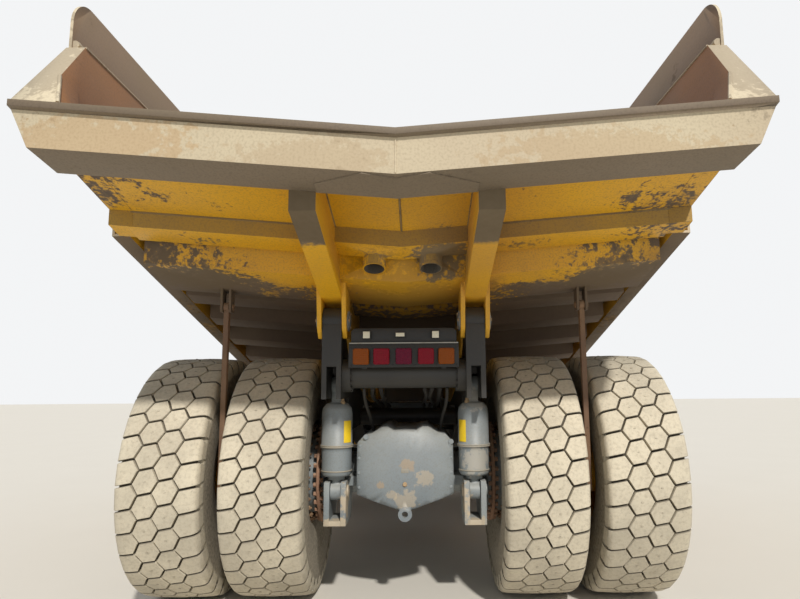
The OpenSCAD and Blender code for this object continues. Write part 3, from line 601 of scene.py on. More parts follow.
        for finish in (Tread("front_tyre", front_axle, **tread), Tread("rear_tyre", rear_axle, **tread),
                       Glass("cab_glass", "4C5E63"), Lens("lens_amber", "864200"), Lens("lens_red", "7C001C"),
                       Lens("lens_dark_red", "600028"), Lens("lens_pale", "E4E2CF"), Chrome("rod_chrome"),
                       Chrome("mirror_face"), Cloth("seat_cloth")):
            self.all[finish.name] = finish.build()

    @staticmethod
    def underside_stains_and_shade() -> tuple[Blot, ...]:
        """Soot on the floor round the two exhaust outlets, mostly the right one, brown worn patches, and a
        darker yellow patch of painted shade in the floor's middle.

        Returns:
            The stains.
        """
        soot = "5A564C"
        # The first blot, a darker yellow in the middle of the floor's underside, is painted shade
        return (Blot((0.0, 2.72, 2.7), (0.8, 0.75, 0.7), "B88A22", 0.85),
                Blot((-0.31, 3.26, 2.93), (0.27, 0.24, 0.24), soot, 0.8),
                Blot((0.225, 3.2, 2.9), (0.15, 0.1, 0.12), soot, 0.6),
                Blot((1.75, 2.9, 2.85), (0.5, 0.3, 0.3), "63543F", 0.9),
                Blot((-1.75, 2.9, 2.85), (0.55, 0.34, 0.3), "63543F", 0.9),
                Blot((1.55, 3.3, 2.95), (0.24, 0.1, 0.12), "63543F", 0.9),
                Blot((-1.0, 3.3, 2.9), (0.34, 0.11, 0.12), "63543F", 0.85))

    @staticmethod
    def rust_blots(axle: Point) -> tuple[Blot, ...]:
        """Rust and dried mud on the rear cover and the struts' brackets.

        Args:
            axle: middle of the rear axle.

        Returns:
            The stains.
        """
        back, rust, clay, chalk = axle[1] + 0.75, "A88A5E", "B5A488", "A5A197"
        spots = ((-0.02, 1.235, 0.07, rust), (-0.165, 1.12, 0.09, clay), (-0.01, 0.95, 0.10, clay),
                 (0.20, 1.07, 0.035, rust), (0.11, 0.99, 0.045, clay))
        made = [Blot((x, back, z), (reach, 0.3, reach * 0.8), colour, 0.42) for x, z, reach, colour in spots]
        for sign in (-1, 1):
            made.append(Blot((sign * 0.51, axle[1] + 0.62, 0.93), (0.06, 0.16, 0.16), clay, 0.7))
            made.append(Blot((sign * 0.60, axle[1] + 0.70, 0.74), (0.12, 0.12, 0.07), clay, 0.7))
        made.append(Blot((-0.60, axle[1] + 0.74, 1.78), (0.16, 0.16, 0.10), chalk, 0.7))
        made.append(Blot((-0.60, axle[1] + 0.74, 1.27), (0.16, 0.16, 0.16), chalk, 0.8))
        return tuple(made)

    def __getitem__(self, name: str) -> bpy.types.Material:
        """The material of that name."""
        return self.all[name]


# Meshes

class Workshop:
    """Makes meshes and hands each finished piece to its body."""

    def __init__(self, frame: dict, palette: Palette) -> None:
        """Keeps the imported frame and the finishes."""
        self.frame = frame
        self.palette = palette

    def piece(self, name: str, verts: Sequence[Point], faces: Sequence[Sequence[int]], finish: str) -> Object:
        """A mesh piece at the origin, its doubles merged and its faces turned outwards.

        Args:
            name: the piece's name.
            verts: corners in metres.
            faces: corner numbers of each face.
            finish: the finish's name.

        Returns:
            The object, not yet on a body.
        """
        mesh = bpy.data.meshes.new(name)
        mesh.from_pydata(verts, [], faces)
        bm = bmesh.new()
        bm.from_mesh(mesh)
        bpy.data.meshes.remove(mesh)
        bmesh.ops.remove_doubles(bm, verts=bm.verts, dist=1e-5)
        bmesh.ops.recalc_face_normals(bm, faces=bm.faces)
        return self.meshed(name, bm, [self.palette[finish]])

    def meshed(self, name: str, bm: bmesh.types.BMesh, finishes: Iterable[bpy.types.Material],
               smooth: float = 35.0) -> Object:
        """A piece of a finished BMesh, which is used up.

        Args:
            name: the piece's name.
            bm: its faces, numbered for the finishes.
            finishes: the materials.
            smooth: the angle in degrees under which it is shaded smooth.

        Returns:
            The piece.
        """
        mesh = bpy.data.meshes.new(name)
        bm.to_mesh(mesh)
        bm.free()
        for material in finishes:
            mesh.materials.append(material)
        return self.thing(name, mesh, smooth)

    def thing(self, name: str, mesh: bpy.types.Mesh, smooth: float = 35.0) -> Object:
        """A piece of a finished mesh.

        Args:
            name: the piece's name.
            mesh: the mesh.
            smooth: the angle in degrees under which it is shaded smooth.

        Returns:
            The piece.
        """
        mesh.update()
        mesh.shade_smooth()
        mesh.set_sharp_from_angle(angle=math.radians(smooth))
        piece = bpy.data.objects.new(name, mesh)
        bpy.context.scene.collection.objects.link(piece)
        return piece

    @staticmethod
    def baked(name: str, data: bpy.types.Mesh | bpy.types.Curve, tree: bpy.types.NodeTree | None = None,
              inputs: dict | None = None) -> bpy.types.Mesh:
        """The plain mesh of a curve, or of a mesh under a Geometry Nodes tree.

        Args:
            name: a name for what carries it.
            data: the curve or mesh.
            tree: the tree.
            inputs: the tree's sockets by their identifiers, and their values.

        Returns:
            The mesh.
        """
        carrier = bpy.data.objects.new(name, data)
        bpy.context.scene.collection.objects.link(carrier)
        if tree:
            modifier = carrier.modifiers.new(name, "NODES")
            modifier.node_group = tree
            for key, value in inputs.items():
                modifier[key] = value
        bpy.context.view_layer.update()
        mesh = bpy.data.meshes.new_from_object(carrier.evaluated_get(bpy.context.evaluated_depsgraph_get()))
        bpy.data.objects.remove(carrier)
        return mesh

    @staticmethod
    def slotted(mesh: bpy.types.Mesh, slots: Sequence[tuple[Point, Point]]) -> None:
        """Cuts boxes, each a lowest and a highest corner, out of a closed mesh.

        Args:
            mesh: the mesh, changed in place.
            slots: the boxes.
        """
        bm = bmesh.new()
        for low, high in slots:
            made = bmesh.ops.create_cube(bm, size=1.0)["verts"]
            bmesh.ops.scale(bm, vec=Vector(high) - Vector(low), verts=made)
            bmesh.ops.translate(bm, vec=(Vector(low) + Vector(high)) / 2, verts=made)
        cutter = bpy.data.objects.new("cutter", bpy.data.meshes.new("cutter"))
        bm.to_mesh(cutter.data)
        bm.free()
        body = bpy.data.objects.new("slotted", mesh)
        for thing in (cutter, body):
            bpy.context.scene.collection.objects.link(thing)
        cut = body.modifiers.new("cut", "BOOLEAN")
        cut.operation, cut.solver, cut.object = "DIFFERENCE", "EXACT", cutter
        made = body.evaluated_get(bpy.context.evaluated_depsgraph_get()).to_mesh().copy()
        bm = bmesh.new()
        bm.from_mesh(made)
        bm.to_mesh(mesh)
        bm.free()
        for thing in (body, cutter):
            bpy.data.objects.remove(thing)
        bpy.data.meshes.remove(made)

    def softened(self, node: str, finish: str, width: float = 0.006,
                 rule: "Callable[[Vector, Vector], str] | None" = None, more: Sequence[str] = (),
                 slots: Sequence[tuple[Point, Point]] = ()) -> Object:
        """A copy of a node with its long sharp edges rounded, standing in for it.

        Args:
            node: the node's name.
            finish: the finish of its faces.
            width: width of the rounding.
            rule: picks a face's finish from its centre and its normal.
            more: the further finishes that the rule picks from.
            slots: boxes cut out of it first.

        Returns:
            The piece, on the node's body.
        """
        source = self.frame["nodes"][node]
        bm = bmesh.new()
        bm.from_mesh(source.data)
        bmesh.ops.remove_doubles(bm, verts=bm.verts, dist=2e-5)
        if slots:
            whole = bpy.data.meshes.new(node + "_slotted")
            bm.to_mesh(whole)
            self.slotted(whole, slots)
            bm.clear()
            bm.from_mesh(whole)
            bmesh.ops.remove_doubles(bm, verts=bm.verts, dist=2e-5)
        bmesh.ops.dissolve_limit(bm, angle_limit=math.radians(0.5), verts=bm.verts, edges=bm.edges)
        sharp = [e for e in bm.edges if len(e.link_faces) == 2 and e.calc_length() > 5 * width
                 and e.calc_face_angle(0.0) > math.radians(30)]
        self.rounded(bm, sharp, width)
        finishes = (finish, *more)
        for face in bm.faces:
            face.material_index = finishes.index(rule(face.calc_center_median(), face.normal)) if rule else 0
        bmesh.ops.triangulate(bm, faces=[f for f in bm.faces if len(f.verts) > 4])
        piece = self.meshed(node + "_dressed", bm, [self.palette[name] for name in finishes], 32.0)
        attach(piece, source["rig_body"])
        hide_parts(node)
        return piece

    def paint(self, finish: str, *nodes: str) -> None:
        """Gives nodes that stay a finish.

        Args:
            finish: the finish's name.
            nodes: the nodes' names.
        """
        for node in nodes:
            slots = self.frame["nodes"][node].data.materials
            slots.clear()
            slots.append(self.palette[finish])

    def joined(self, name: str, parts: Iterable[Object]) -> Object:
        """One piece from several, with their finishes kept.

        Args:
            name: the piece's name.
            parts: the pieces joined, which are used up.

        Returns:
            The piece.
        """
        parts = list(parts)
        bm = bmesh.new()
        finishes: list[bpy.types.Material] = []
        for part in parts:
            start = len(bm.faces)
            bm.from_mesh(part.data)
            bm.faces.ensure_lookup_table()
            for face in bm.faces[start:]:
                material = part.data.materials[face.material_index]
                if material not in finishes:
                    finishes.append(material)
                face.material_index = finishes.index(material)
        for part in parts:
            bpy.data.objects.remove(part)
        return self.meshed(name, bm, finishes)

    def loft(self, name: str, rings: Sequence[Sequence[Point]], finish: str, looped: bool = False) -> Object:
        """A skin through closed rings of one count, capped at its ends unless it runs round to its start.

        Args:
            name: the piece's name.
            rings: the rings' points.
            finish: the finish's name.
            looped: whether the last ring joins the first.

        Returns:
            The piece.
        """
        count = len(rings[0])
        verts = [point for ring in rings for point in ring]
        pairs = list(zip(range(len(rings)), range(1, len(rings)))) + ([(len(rings) - 1, 0)] if looped else [])
        faces: list[tuple[int, ...]] = []
        for i, j in pairs:
            faces += [(i * count + k, i * count + (k + 1) % count, j * count + (k + 1) % count, j * count + k)
                      for k in range(count)]
        if not looped:
            faces += [tuple(range(count)), tuple(range(len(verts) - count, len(verts)))]
        return self.piece(name, verts, faces, finish)

    def plate(self, name: str, outline: Sequence[tuple[float, float]], axis: int, start: float, end: float,
              finish: str, width: float = 0.003, shift: Point = (0, 0, 0)) -> Object:
        """A plate of any outline with rounded edges.

        Args:
            name: the piece's name.
            outline: its corners in the two axes other than the one it is thick along.
            axis: 0, 1 or 2, the axis it is thick along.
            start: where it starts on that axis.
            end: where it ends.
            finish: the finish's name.
            width: width of the rounding.
            shift: added to every corner.

        Returns:
            The piece.
        """
        a, b = [(1, 2), (0, 2), (0, 1)][axis]
        rings = []
        for along in (start, end):
            ring = []
            for u, v in outline:
                place = [0.0, 0.0, 0.0]
                place[axis], place[a], place[b] = along, u + shift[a], v + shift[b]
                ring.append(tuple(place))
            rings.append(ring)
        piece = self.loft(name, rings, finish)
        bm = bmesh.new()
        bm.from_mesh(piece.data)
        sharp = [e for e in bm.edges if e.calc_face_angle(0.0) > math.radians(30)]
        self.rounded(bm, sharp, width)
        bm.to_mesh(piece.data)
        bm.free()
        return piece

    def rolled(self, name: str, profile: Sequence[tuple[float, float]], centre: Point, finish: str,
               steps: int = 96, axis: int = 0) -> Object:
        """A profile turned about an axis.

        Args:
            name: the piece's name.
            profile: distance along the axis and radius, in order round it.
            centre: a point on the axis.
            finish: the finish's name.
            steps: facets round the axis.
            axis: 0, 1 or 2 for X, Y or Z.

        Returns:
            The piece.
        """
        first, second = [(1, 2), (2, 0), (0, 1)][axis]
        rings = []
        for i in range(steps):
            turn = 2 * math.pi * i / steps
            ring = []
            for along, radius in profile:
                place = list(centre)
                place[axis] += along
                place[first] += radius * math.cos(turn)
                place[second] += radius * math.sin(turn)
                ring.append(tuple(place))
            rings.append(ring)
        return self.loft(name, rings, finish, looped=True)

    @staticmethod
    def rounded(bm: bmesh.types.BMesh, edges: Sequence[bmesh.types.BMEdge], width: float) -> None:
        """Rounds edges in two steps."""
        bmesh.ops.bevel(
            bm, geom=edges, offset=width, offset_type="OFFSET", segments=2, profile=0.5, affect="EDGES",
            clamp_overlap=True)

    def tube(self, name: str, path: Sequence[Point], radius: float, finish: str, sides: int = 12,
             curved: bool = False, looped: bool = False) -> Object:
        """A round tube along a path, with flat ends.

        Args:
            name: the piece's name.
            path: the points of its middle line.
            radius: its radius.
            finish: the finish's name.
            sides: facets round it.
            curved: whether the path bends smoothly through its points.
            looped: whether it runs round to its start.

        Returns:
            The piece.
        """
        curve = bpy.data.curves.new(name, "CURVE")
        curve.dimensions = "3D"
        curve.bevel_depth = radius
        curve.bevel_resolution = max(sides // 4 - 1, 0)
        curve.use_fill_caps = True
        curve.resolution_u = 8
        spline = curve.splines.new("BEZIER" if curved else "POLY")
        points = spline.bezier_points if curved else spline.points
        points.add(len(path) - 1)
        spline.use_cyclic_u = looped
        for point, place in zip(points, path):
            if curved:
                point.co = place
                point.handle_left_type = point.handle_right_type = "AUTO"
            else:
                point.co = (*place, 1.0)
        mesh = self.baked(name, curve)
        mesh.materials.clear()
        mesh.materials.append(self.palette[finish])
        return self.thing(name, mesh, 45)

    def block(self, name: str, low: Point, high: Point, finish: str, width: float = 0.004) -> Object:
        """A box with rounded edges between two corners.

        Args:
            name: the piece's name.
            low: lowest corner.
            high: highest corner.
            finish: the finish's name.
            width: width of the rounding.

        Returns:
            The piece.
        """
        bm = bmesh.new()
        bmesh.ops.create_cube(bm, size=1.0)
        size = [high[i] - low[i] for i in range(3)]
        for vert in bm.verts:
            vert.co = Vector([(low[i] + high[i]) / 2 + vert.co[i] * size[i] for i in range(3)])
        self.rounded(bm, bm.edges[:], min(width, 0.4 * min(size)))
        return self.meshed(name, bm, [self.palette[finish]])

    def repeated(self, name: str, proto: Object, finish: str, count: int, turn: float = 0.0,
                 axis: Point = (1, 0, 0), centre: Point = (0, 0, 0), pace: Point = (0, 0, 0),
                 phase: float = 0.0, jitter: float = 0.0, seed: int = 7,
                 places: Sequence[Point] = ()) -> Object:
        """Repeats a piece round an axis, along a line or at given places with a Geometry Nodes tree.

        Args:
            name: the new piece's name.
            proto: the piece repeated, modelled about the origin; it is used up.
            finish: the finish's name.
            count: how many.
            turn: angle between two, in radians.
            axis: the axis they turn about, through the origin.
            centre: where the origin of the pattern goes.
            pace: distance between two, for a row.
            phase: angle of the first.
            jitter: how far their sizes differ, as a share.
            seed: seed of that difference.
            places: where they stand, instead of a line.

        Returns:
            The piece.
        """
        tree = bpy.data.node_groups.new(name, "GeometryNodeTree")
        for way in ("INPUT", "OUTPUT"):
            tree.interface.new_socket("Geometry", in_out=way, socket_type="NodeSocketGeometry")
        inputs = {}
        for key, kind, value in (
                ("Count", "Int", count), ("Turn", "Float", turn), ("Phase", "Float", phase),
                ("Axis", "Vector", axis), ("Centre", "Vector", centre), ("Pace", "Vector", pace),
                ("Smallest", "Float", 1.0 - jitter), ("Largest", "Float", 1.0 + jitter),
                ("Seed", "Int", seed), ("Piece", "Object", proto),
                ("Finish", "Material", self.palette[finish])):
            socket = tree.interface.new_socket(key, in_out="INPUT", socket_type="NodeSocket" + kind)
            inputs[socket.identifier] = value
        start, end = tree.nodes.new("NodeGroupInput"), tree.nodes.new("NodeGroupOutput")

        def add(kind: str, settings: dict | None = None, **links: bpy.types.NodeSocket) -> bpy.types.Node:
            """A node with settings and linked inputs."""
            node = tree.nodes.new(kind)
            for key, value in (settings or {}).items():
                setattr(node, key, value)
            for key, value in links.items():
                tree.links.new(value, node.inputs[key.replace("_", " ")])
            return node

        given = start.outputs
        line = add("GeometryNodeMeshLine", {"mode": "OFFSET"}, Count=given["Count"], Offset=given["Pace"])
        index = add("GeometryNodeInputIndex")
        times = add("ShaderNodeMath", {"operation": "MULTIPLY_ADD"})
        for key, value in enumerate((index.outputs[0], given["Turn"], given["Phase"])):
            tree.links.new(value, times.inputs[key])
        spin = add("FunctionNodeAxisAngleToRotation", None, Axis=given["Axis"], Angle=times.outputs[0])
        size = add("FunctionNodeRandomValue", {"data_type": "FLOAT"}, ID=index.outputs[0], Seed=given["Seed"])
        floats = [s for s in size.inputs if s.name in ("Min", "Max") and s.type == "VALUE"]
        tree.links.new(given["Smallest"], floats[0])
        tree.links.new(given["Largest"], floats[1])
        info = add("GeometryNodeObjectInfo", {"transform_space": "ORIGINAL"}, Object=given["Piece"])
        copies = add(
            "GeometryNodeInstanceOnPoints", None, Points=given["Geometry"] if places else line.outputs[0],
            Instance=info.outputs["Geometry"], Rotation=spin.outputs[0],
            Scale=[s for s in size.outputs if s.type == "VALUE"][0])
        moved = add("GeometryNodeTransform", None, Geometry=copies.outputs[0], Translation=given["Centre"])
        real = add("GeometryNodeRealizeInstances", None, Geometry=moved.outputs[0])
        dressed = add("GeometryNodeSetMaterial", None, Geometry=real.outputs[0], Material=given["Finish"])
        tree.links.new(dressed.outputs[0], end.inputs[0])
        spots = bpy.data.meshes.new(name + "_seed")
        spots.from_pydata([tuple(place) for place in places], [], [])
        mesh = self.baked(name, spots, tree, inputs)
        bpy.data.objects.remove(proto)
        return self.thing(name, mesh)

    def bolt(self, radius: float, height: float, axis: int, sign: float, place: Point,
             finish: str = "dusty_iron") -> Object:
        """A hexagon bolt head on a washer, standing along an axis.

        Args:
            radius: radius over the head's corners.
            height: height of the head.
            axis: 0, 1 or 2 for X, Y or Z.
            sign: 1 or -1, the way it stands.
            place: middle of its foot.
            finish: the finish's name.

        Returns:
            The piece.
        """
        up = height * sign
        profile = [(0.0, 0.0), (0.0, radius * 1.25), (up * 0.2, radius * 1.25), (up * 0.2, radius),
                   (up * 0.9, radius), (up, radius * 0.85), (up, 0.0)]
        return self.rolled("bolt", profile, place, finish, 6, axis)

    def bolts(self, radius: float, height: float, axis: int, sign: float, places: Sequence[Point],
              finish: str) -> Object:
        """Like bolt heads at the given places, their sizes as for one."""
        head = self.bolt(radius, height, axis, sign, (0, 0, 0))
        return self.repeated("bolts", head, finish, len(places), places=places)

    def bolt_circle(self, radius: float, height: float, sign: float, foot: Point, count: int, centre: Point,
                    finish: str, phase: float = 0.0) -> Object:
        """Bolt heads round a line along X.

        Args:
            radius: radius over a head's corners.
            height: height of a head.
            sign: 1 or -1, the way they stand.
            foot: the first one's foot, from the centre.
            count: how many.
            centre: the circle's middle.
            finish: the finish's name.
            phase: angle of the first.

        Returns:
            The piece.
        """
        head = self.bolt(radius, height, 0, sign, foot)
        return self.repeated(
            "bolt_circle", head, finish, count, 2 * math.pi / count, centre=centre, phase=phase)

    def hand_over(self, body: str, *pieces: Object) -> None:
        """Puts pieces on a body and reports them.

        Args:
            body: the body's name.
            pieces: the pieces.
        """
        for piece in pieces:
            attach(piece, body)
            LOG.info("%s rides on %s, %d faces", piece.name, body, len(piece.data.polygons))


# Sub-assemblies

@dataclass(frozen=True)
class Axles:
    """The lines that the wheels turn on, and how far out the tyres' middles lie."""
    front: Point
    rear: Point
    front_x: float
    rear_xs: tuple[float, float]


@dataclass
class Wheels:
    """The tyres with their tread of blocks."""
    shop: Workshop
    radius: float = 1.085
    pitches: int = 35
    groove: float = 0.015
    depth: float = 0.042
    chamfer: float = 0.004
    slant: float = 0.19
    shoulder_x: float = 0.244
    inner_x: float = 0.081
    # How far the inner rows are turned on, left and right, in pitches
    phases: tuple[float, float] = (0.36, -0.21)
    # Distance from the middle, and how far the tread falls there below its crown
    fall: tuple[tuple[float, float], ...] = (
        (0.272, 0.009), (0.306, 0.015), (0.324, 0.030), (0.334, 0.062), (0.3395, 0.14))
    # Half profile of the carcass under the blocks: distance from the middle, radius
    carcass: tuple[tuple[float, float], ...] = (
        (0.0, 1.043), (0.145, 1.042), (0.26, 1.035), (0.303, 1.018), (0.324, 0.985), (0.334, 0.93),
        (0.339, 0.86), (0.340, 0.78), (0.334, 0.70), (0.330, 0.696), (0.317, 0.62), (0.298, 0.555),
        (0.294, 0.535), (0.286, 0.50), (0.272, 0.478), (0.253, 0.462), (0.245, 0.4465))

    @property
    def pitch(self) -> float:
        """Length of one block and its groove, round the tread."""
        return 2 * math.pi * self.radius / self.pitches

    def crown(self, u: float) -> float:
        """Radius of the tread at a distance from the tyre's middle."""
        edge, drop = self.fall[0]
        return self.radius - (drop * (u / edge) ** 2 if abs(u) <= edge else between(self.fall, abs(u)))

    def block(self, name: str, stations: Sequence[tuple[float, float, float]], phase: float) -> Object:
        """One tread block, its middle at the given phase round the tyre.

        Args:
            name: the piece's name.
            stations: distance across, middle round the tread, and half length there, in order.
            phase: where the block stands, in pitches.

        Returns:
            The block about the origin of the axle.
        """
        first, last = stations[0], stations[-1]
        step = math.copysign(self.chamfer, last[0] - first[0])
        full = [(*first, True), (first[0] + step, *first[1:], False), *((*s, False) for s in stations[1:-1]),
                (last[0] - step, *last[1:], False), (*last, True)]
        rings = []
        for u, middle, half, tucked in full:
            top = self.crown(u)
            foot = top - self.depth - 0.006 if abs(u) < 0.3 else top - 0.03
            edge = top - self.chamfer
            brow = edge if tucked else top
            ring = []
            for arc, r in ((-half, foot), (-half, edge), (-half + self.chamfer, brow),
                           (half - self.chamfer, brow), (half, edge), (half, foot)):
                turn = (middle + arc + phase * self.pitch) / self.radius
                ring.append((u, r * math.sin(turn), r * math.cos(turn)))
            rings.append(ring)
        return self.shop.loft(name, rings, "rear_tyre")

    def rows(self) -> list[tuple[list[tuple[float, float, float]], float]]:
        """The four rows of blocks.

        Returns:
            Stations and phase of each, from the truck's left to its right.
        """
        half = (self.pitch - self.groove) / 2

        def shoulder(side: int) -> list[tuple[float, float, float]]:
            """Stations of a shoulder block, from its inner tip down the tyre's shoulder."""
            spots = ((0.144, 0.006), (0.195, half), (0.244, half), (0.272, half), (0.306, half - 0.001),
                     (0.324, half - 0.003), (0.334, half - 0.010), (0.338, half - 0.02))
            return [(side * u, self.slant * (u - self.shoulder_x) * side, h) for u, h in spots]

        row, corner, tip = self.inner_x, 0.049, 0.098
        left = [(row + tip, 0.0165, 0.006), (row + corner, self.slant * corner, half), (row, 0.0, half),
                (row - corner, -self.slant * corner, half), (row - tip, -0.003, 0.006)]
        right = [(-u, -v, h) for u, v, h in left]
        return [(shoulder(1), 0.0), (left, self.phases[0]), (right, self.phases[1]), (shoulder(-1), 0.15)]

    def tyre(self, name: str, centre: Point, finish: str) -> Object:
        """A whole tyre: its carcass, its blocks and their marks.

        Args:
            name: the piece's name.
            centre: middle of the tyre.
            finish: the finish's name.

        Returns:
            The tyre, as one piece.
        """
        side = list(self.carcass)
        parts = [self.shop.rolled(
            "carcass", side + [(-u, r) for u, r in reversed(side[1:])], centre, finish, 160)]
        protos = [self.block("block", *row) for row in self.rows()]
        protos += [self.pit(u, phase) for u, phase in zip((self.inner_x, -self.inner_x), self.phases)]
        for proto in protos:
            parts.append(self.shop.repeated(
                "row", proto, finish, self.pitches, 2 * math.pi / self.pitches, centre=centre))
        return self.shop.joined(name, parts)

    def pit(self, u: float, phase: float) -> Object:
        """The small mark in the middle of a centre block, proud by a hair.

        Args:
            u: distance of its row from the tyre's middle.
            phase: where it stands, in pitches.

        Returns:
            The mark about the origin of the axle.
        """
        corners, top = 8, self.crown(u) + 0.0008
        rings = []
        for radius in (top - 0.003, top):
            ring = []
            for i in range(corners):
                a = 2 * math.pi * i / corners
                turn = (0.004 * math.sin(a) + phase * self.pitch) / self.radius
                ring.append((u + 0.011 * math.cos(a), radius * math.sin(turn), radius * math.cos(turn)))
            rings.append(ring)
        return self.shop.loft("pit", rings, "rear_tyre")

    def dress(self, axles: Axles) -> None:
        """Puts every tyre in place of its node.

        Args:
            axles: where the wheels are.
        """
        for side, sign in SIDES:
            front = self.tyre(
                f"front_tyre_{side}_treaded", (sign * axles.front_x, *axles.front[1:]), "front_tyre")
            self.shop.hand_over(f"front_wheel_{side}", front)
            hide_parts(f"front_tyre_{side}")
            pair = [self.tyre(f"rear_tyre_{side}_{i}", (sign * x, *axles.rear[1:]), "rear_tyre")
                    for i, x in enumerate(axles.rear_xs)]
            self.shop.hand_over(f"rear_wheels_{side}", *pair)
            for tyre in pair:
                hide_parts(f"rear_tyres_{side}")


@dataclass
class TailLamps:
    """The five lenses on their bar."""
    shop: Workshop
    half: float = 0.066
    round_by: float = 0.016
    order: tuple[str, ...] = ("lens_amber", "lens_red", "lens_dark_red", "lens_red", "lens_amber")

    def lens(self, name: str, x: float, y: float, z: float, finish: str) -> Object:
        """A square lens with rounded corners and a crowned face.

        Args:
            name: the piece's name.
            x: its middle across.
            y: its back.
            z: its middle's height.
            finish: the finish's name.

        Returns:
            The lens.
        """
        outline = []
        straight = self.half - self.round_by
        for cx, cz, start in ((1, 1, 0), (-1, 1, 90), (-1, -1, 180), (1, -1, 270)):
            for k in range(5):
                a = math.radians(start + 22.5 * k)
                outline.append(
                    (cx * straight + self.round_by * math.cos(a),
                     cz * straight + self.round_by * math.sin(a)))
        rings = [[(x + share * u, y + depth, z + share * v) for u, v in outline]
                 for share, depth in ((1.0, 0.0), (1.0, 0.034), (0.93, 0.042), (0.5, 0.0445))]
        return self.shop.loft(name, rings, finish)

    def dress(self) -> None:
        """Puts the lenses in place of their node."""
        low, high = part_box("tail_lamps")
        xs = [low[0] + (high[0] - low[0]) * t for t in (0.0853, 0.2833, 0.5, 0.7167, 0.9147)]
        z = (low[2] + high[2]) / 2
        lenses = [self.lens(f"lens_{i}", x, low[1], z, finish)
                  for i, (x, finish) in enumerate(zip(xs, self.order))]
        lamps = self.shop.joined("tail_lamp_lenses", lenses)
        self.shop.hand_over("frame", lamps)
        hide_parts("tail_lamps")


@dataclass(frozen=True)
class BedSkin:
    """Which finish each face of the bed has, told by its place and the way it faces."""
    tail: float
    axle_y: float
    wall_top: float
    rail: float = 0.4
    outlet_x: float = 0.225
    outlet_z: float = 2.815
    outlet_r: float = 0.0815
    outlet_lean: float = 19.0

    def inside_outlet(self, centre: Vector, normal: Vector) -> bool:
        """Whether a face lies in the bore or on the end of an exhaust outlet.

        Args:
            centre: the face's middle.
            normal: the way it faces.

        Returns:
            Whether it does.
        """
        lean = math.radians(self.outlet_lean)
        way = Vector((0, -math.sin(lean), math.cos(lean)))
        offset = centre - Vector((math.copysign(self.outlet_x, centre.x), self.axle_y + 1.29, self.outlet_z))
        height = offset.dot(way)
        radial = offset - way * height
        return radial.length < self.outlet_r and (normal.dot(radial) < -0.07 or 0.1 < height < 0.16)

    def floor(self, centre: Vector, normal: Vector) -> str:
        """The load's side is bare, the tail worn, the lip's face and the beam's underside painted dark as
        shade, the first rib's rear faces scuffed and painted dark as shade, the outlets sooty inside.

        Args:
            centre: the face's middle.
            normal: the way it faces.

        Returns:
            The finish's name.
        """
        if normal.z > 0.6:
            return "load_steel"
        if self.inside_outlet(centre, normal):
            return "soot"
        # The lip's faces at the very tail: painted shadow of its overhang
        if centre.y > self.tail - 0.008:
            return "lip_edge"
        # The tail beam's downward faces take the darker finish, painted shade, the rest the worn tail steel
        if centre.y > self.tail - 0.33:
            return "beam_under" if normal.z < -0.5 else "tail_steel"
        # Rear faces of the first rib: scuffs with painted shade
        return "rib_scuffed" if normal.y > 0.7 and centre.y > self.tail - 1.3 else "bed_underside"

    def side(self, centre: Vector, normal: Vector) -> str:
        """The inner faces are bare, the tail's post is worn, the duct's underside is dirty and painted dark
        as shade.

        Args:
            centre: the face's middle.
            normal: the way it faces.

        Returns:
            The finish's name.
        """
        inward = normal.x * centre.x < 0 and abs(normal.x) > 0.7
        if centre.z > self.wall_top - self.rail:
            return "board_steel" if inward else ("tail_steel" if normal.y > 0.3 else "bed_outer")
        if inward and abs(centre.x) < 2.13:
            return "load_steel"
        # The duct's downward faces: dirt and painted shade
        if normal.z < -0.5 and abs(centre.x) > 2.12:
            return "duct_dirt"
        return "tail_steel" if normal.y > 0.5 else "bed_outer"

    @staticmethod
    def bolster(_: Vector, normal: Vector) -> str:
        """The beams' flanks have the bed's outer paint."""
        return "bed_outer" if abs(normal.x) > 0.7 else "bolster_paint"

    @staticmethod
    def wall(_: Vector, normal: Vector) -> str:
        """The front wall is bare on the load's side."""
        return "load_steel" if normal.y > 0.5 else "bed_outer"

    def dress(self, shop: Workshop) -> None:
        """Puts the softened bed in place of its nodes.

        Args:
            shop: the workshop.
        """
        boards = ("tail_steel", "load_steel", "duct_dirt", "board_steel")
        for node, finish, rule, more in (
                ("bed_bolsters", "bolster_paint", self.bolster, ("bed_outer",)),
                ("bed_floor", "bed_underside", self.floor,
                 ("tail_steel", "load_steel", "rib_scuffed", "beam_under", "lip_edge", "soot")),
                ("bed_side_left", "bed_outer", self.side, boards),
                ("bed_side_right", "bed_outer", self.side, boards),
                ("bed_front_wall", "bed_outer", self.wall, ("load_steel",))):
            shop.softened(node, finish, rule=rule, more=more)


